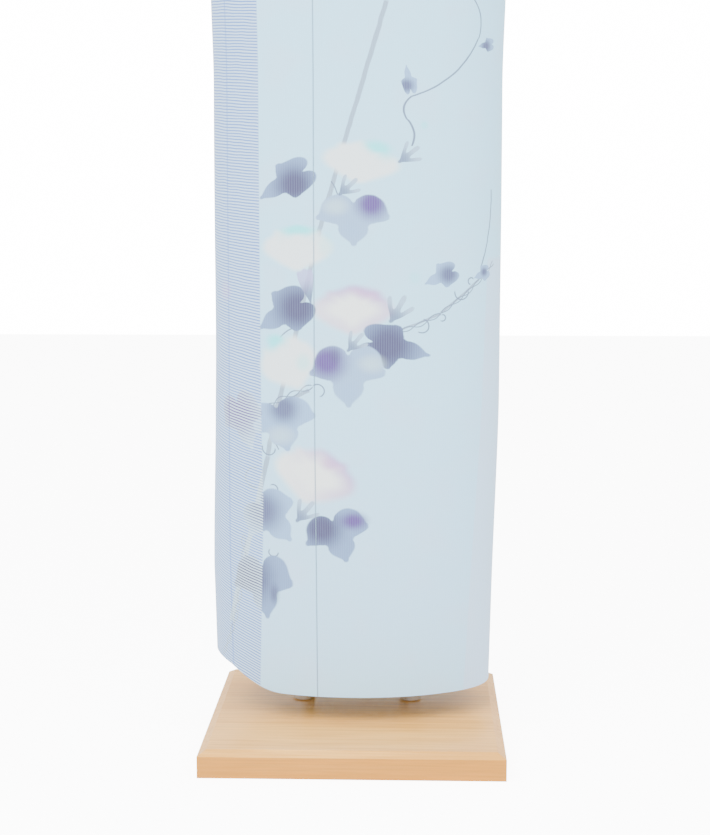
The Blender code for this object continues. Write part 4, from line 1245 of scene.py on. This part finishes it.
class KIMONO_OT_collar(Operator):
    """The collar: one band round the neck and down both fronts, and the guard over its neck part."""

    bl_idname = "kimono.collar"
    bl_label = "Collar and over-collar"

    def execute(self, context):
        left, right = collar_lines(LEFT, COLLAR_POINTS), collar_lines(RIGHT, COLLAR_POINTS)
        rows = softened(left + right[-2::-1], 2)
        shape = bmesh.new()
        spread(shape, band(rows, COLLAR_WIDE))
        piece = cloth_piece("collar", shape, "gauze", COLLAR_WALL, PRINTED)
        edge = piece.modifiers.new("rounded fold", "BEVEL")
        edge.width = 0.0011
        edge.segments = 2
        edge.limit_method = "ANGLE"
        edge.angle_limit = math.radians(60)

        out = COLLAR_WALL / 2 + SEAM + OVER_COLLAR_WALL / 2 + 0.0002
        moved = []
        for i in range(GUARD_START, len(rows) - GUARD_END):
            line = []
            for k, spot in enumerate(rows[i]):
                across = rows[i][min(k + 1, COLLAR_POINTS - 1)] - rows[i][max(k - 1, 0)]
                normal = (rows[i + 1][k] - rows[i - 1][k]).cross(across).normalized()
                line.append(spot + normal * out)
            moved.append(line)
        shape = bmesh.new()
        spread(shape, band(moved, COLLAR_WIDE))
        guard = cloth_piece("over_collar", shape, "gauze", OVER_COLLAR_WALL, PRINTED)
        return {"FINISHED"}


class KIMONO_OT_sash(Operator):
    """The narrow sash, once round the waist, its end laid over its start."""

    bl_idname = "kimono.sash"
    bl_label = "Sash"

    def execute(self, context):
        half = finer(FRONT_COLUMNS[2:] + BACK_COLUMNS[1:], SASH_PARTS)
        stops = [(LEFT, place, 0.0) for place in half if place >= SASH_START]
        stops += [(RIGHT, place, SASH_LAP * smooth(0.9, 0.5, place)) for place in half[-2::-1]]
        stops += [(LEFT, place, SASH_LAP) for place in half if 0.0 < place <= SASH_END]
        middle = (SASH_LOW + SASH_HIGH) / 2
        rows = []
        for side, place, lapped in stops:
            layers = panel_off(LEFT, place, SASH_HIGH) + 2 * FOLD_STEP
            room = SASH_LIFT + (COLLAR_WALL + 0.0017) * (1 - smooth(0.64, 0.95, place))
            spot = round_body(place, middle, layers + room + lapped, side)
            rows.append([Vector((spot.x, spot.y, blend(SASH_LOW, SASH_HIGH, i / 12))) for i in range(13)])
        shape = bmesh.new()
        spread(shape, band(rows, SASH_HIGH - SASH_LOW))
        sash_finish(context.scene.sash_cloth)
        piece = cloth_piece("waist_sash", shape, "sash_silk", SASH_WALL, SASH_SILK)
        return {"FINISHED"}


class KIMONO_OT_stand(Operator):
    """Wood, metal and jersey finishes for the form and its stand, whose solids stay as they are."""

    bl_idname = "kimono.stand"
    bl_label = "Form and stand finishes"

    def execute(self, context):
        stand = context.scene.stand_finish
        metal = chrome_finish(stand)
        finishes = {"base_board": beech_finish(stand), "form_body": jersey_finish(stand)}
        finishes |= {name: metal for name in ("post_left", "post_right", "sleeve_rod")}
        for name, finish in finishes.items():
            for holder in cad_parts[name].material_slots:
                holder.material = finish
        return {"FINISHED"}


class KIMONO_OT_studio(Operator):
    """The plain floor, the soft lights and the camera at the photograph's angle."""

    bl_idname = "kimono.studio"
    bl_label = "Studio"

    def execute(self, context):
        scene = context.scene
        look = scene.studio_look
        shape = bmesh.new()
        bmesh.ops.create_grid(shape, x_segments=2, y_segments=2, size=6.0)
        mesh = bpy.data.meshes.new("studio_floor")
        shape.to_mesh(mesh)
        shape.free()
        floor = bpy.data.objects.new("studio_floor", mesh)
        scene.collection.objects.link(floor)
        # White acrylic floor, lit from below as studio floors are: matt and even.
        card, tree, sockets = material("Studio floor, lit acrylic", {
            "Base Color": look.floor, "Roughness": 0.7, "Emission Color": look.world})
        seen = node(tree, "LightPath", out="Is Camera Ray")
        glow = node(tree, "Math", {0: seen, 1: look.floor_glow}, operation="MULTIPLY")
        tree.links.new(glow, sockets["Emission Strength"])
        mesh.materials.append(card)

        world = bpy.data.worlds.new("studio_room")
        world.use_nodes = True
        tree = world.node_tree
        room = tree.nodes["Background"]
        room.inputs["Color"].default_value = look.world
        room.inputs["Strength"].default_value = look.room
        # Straight behind the object the paper backdrop is lit on its own, to white.
        backdrop = node(tree, "Background", {"Color": look.world, "Strength": look.backdrop})
        seen = node(tree, "LightPath", out="Is Camera Ray")
        both = node(tree, "MixShader", {0: seen, 1: room.outputs[0], 2: backdrop})
        tree.links.new(both, tree.nodes["World Output"].inputs["Surface"])
        scene.world = world
        self.light("key_light", look.key, (-1.3, -2.1, 3.2))
        self.light("fill_light", look.fill, (2.0, -1.9, 2.6))

        camera = bpy.data.cameras.new("camera")
        camera.lens = look.lens
        camera.sensor_width = 36.0
        eye = bpy.data.objects.new("camera", camera)
        eye.location = CAMERA_PLACE
        eye.rotation_euler = (math.radians(90 - CAMERA_DOWN), 0.0, math.radians(CAMERA_TURN))
        scene.collection.objects.link(eye)
        scene.camera = eye
        return {"FINISHED"}

    def light(self, name, power, place):
        """A square soft light that points at the middle of the skirt."""
        lamp = bpy.data.lights.new(name, "AREA")
        lamp.shape = "SQUARE"
        lamp.size = LIGHT_SIZE
        lamp.energy = power
        hung = bpy.data.objects.new(name, lamp)
        hung.location = place
        hung.rotation_euler = (LIGHT_TARGET - Vector(place)).to_track_quat("-Z", "Y").to_euler()
        bpy.context.scene.collection.objects.link(hung)


class KIMONO_PT_panel(Panel):
    """Lists the pieces in the order they are made."""

    bl_idname = "KIMONO_PT_panel"
    bl_label = "Kimono"
    bl_space_type = "VIEW_3D"
    bl_region_type = "UI"
    bl_category = "Kimono"

    def draw(self, context):
        for step in STEPS:
            self.layout.operator(step.bl_idname)


STEPS = (
    KIMONO_OT_studio,
    KIMONO_OT_finishes,
    KIMONO_OT_body_panels,
    KIMONO_OT_overlap_panels,
    KIMONO_OT_sleeves,
    KIMONO_OT_collar,
    KIMONO_OT_sash,
    KIMONO_OT_stand,
)
GROUPS = (
    ("kimono_cloth", KimonoCloth),
    ("kimono_print", KimonoPrint),
    ("stand_finish", StandFinish),
    ("sash_cloth", SashCloth),
    ("studio_look", StudioLook),
)


def register():
    for name, values in GROUPS:
        bpy.utils.register_class(values)
        setattr(bpy.types.Scene, name, PointerProperty(type=values))
    for step in STEPS:
        bpy.utils.register_class(step)
    bpy.utils.register_class(KIMONO_PT_panel)


def unregister():
    bpy.utils.unregister_class(KIMONO_PT_panel)
    for step in reversed(STEPS):
        bpy.utils.unregister_class(step)
    for name, values in reversed(GROUPS):
        delattr(bpy.types.Scene, name)
        bpy.utils.unregister_class(values)


def main():
    register()
    bpy.ops.kimono.studio()
    bpy.ops.kimono.finishes()
    bpy.ops.kimono.body_panels()
    bpy.ops.kimono.overlap_panels()
    bpy.ops.kimono.sleeves()
    bpy.ops.kimono.collar()
    bpy.ops.kimono.sash()
    bpy.ops.kimono.stand()


if __name__ == "__main__":
    main()
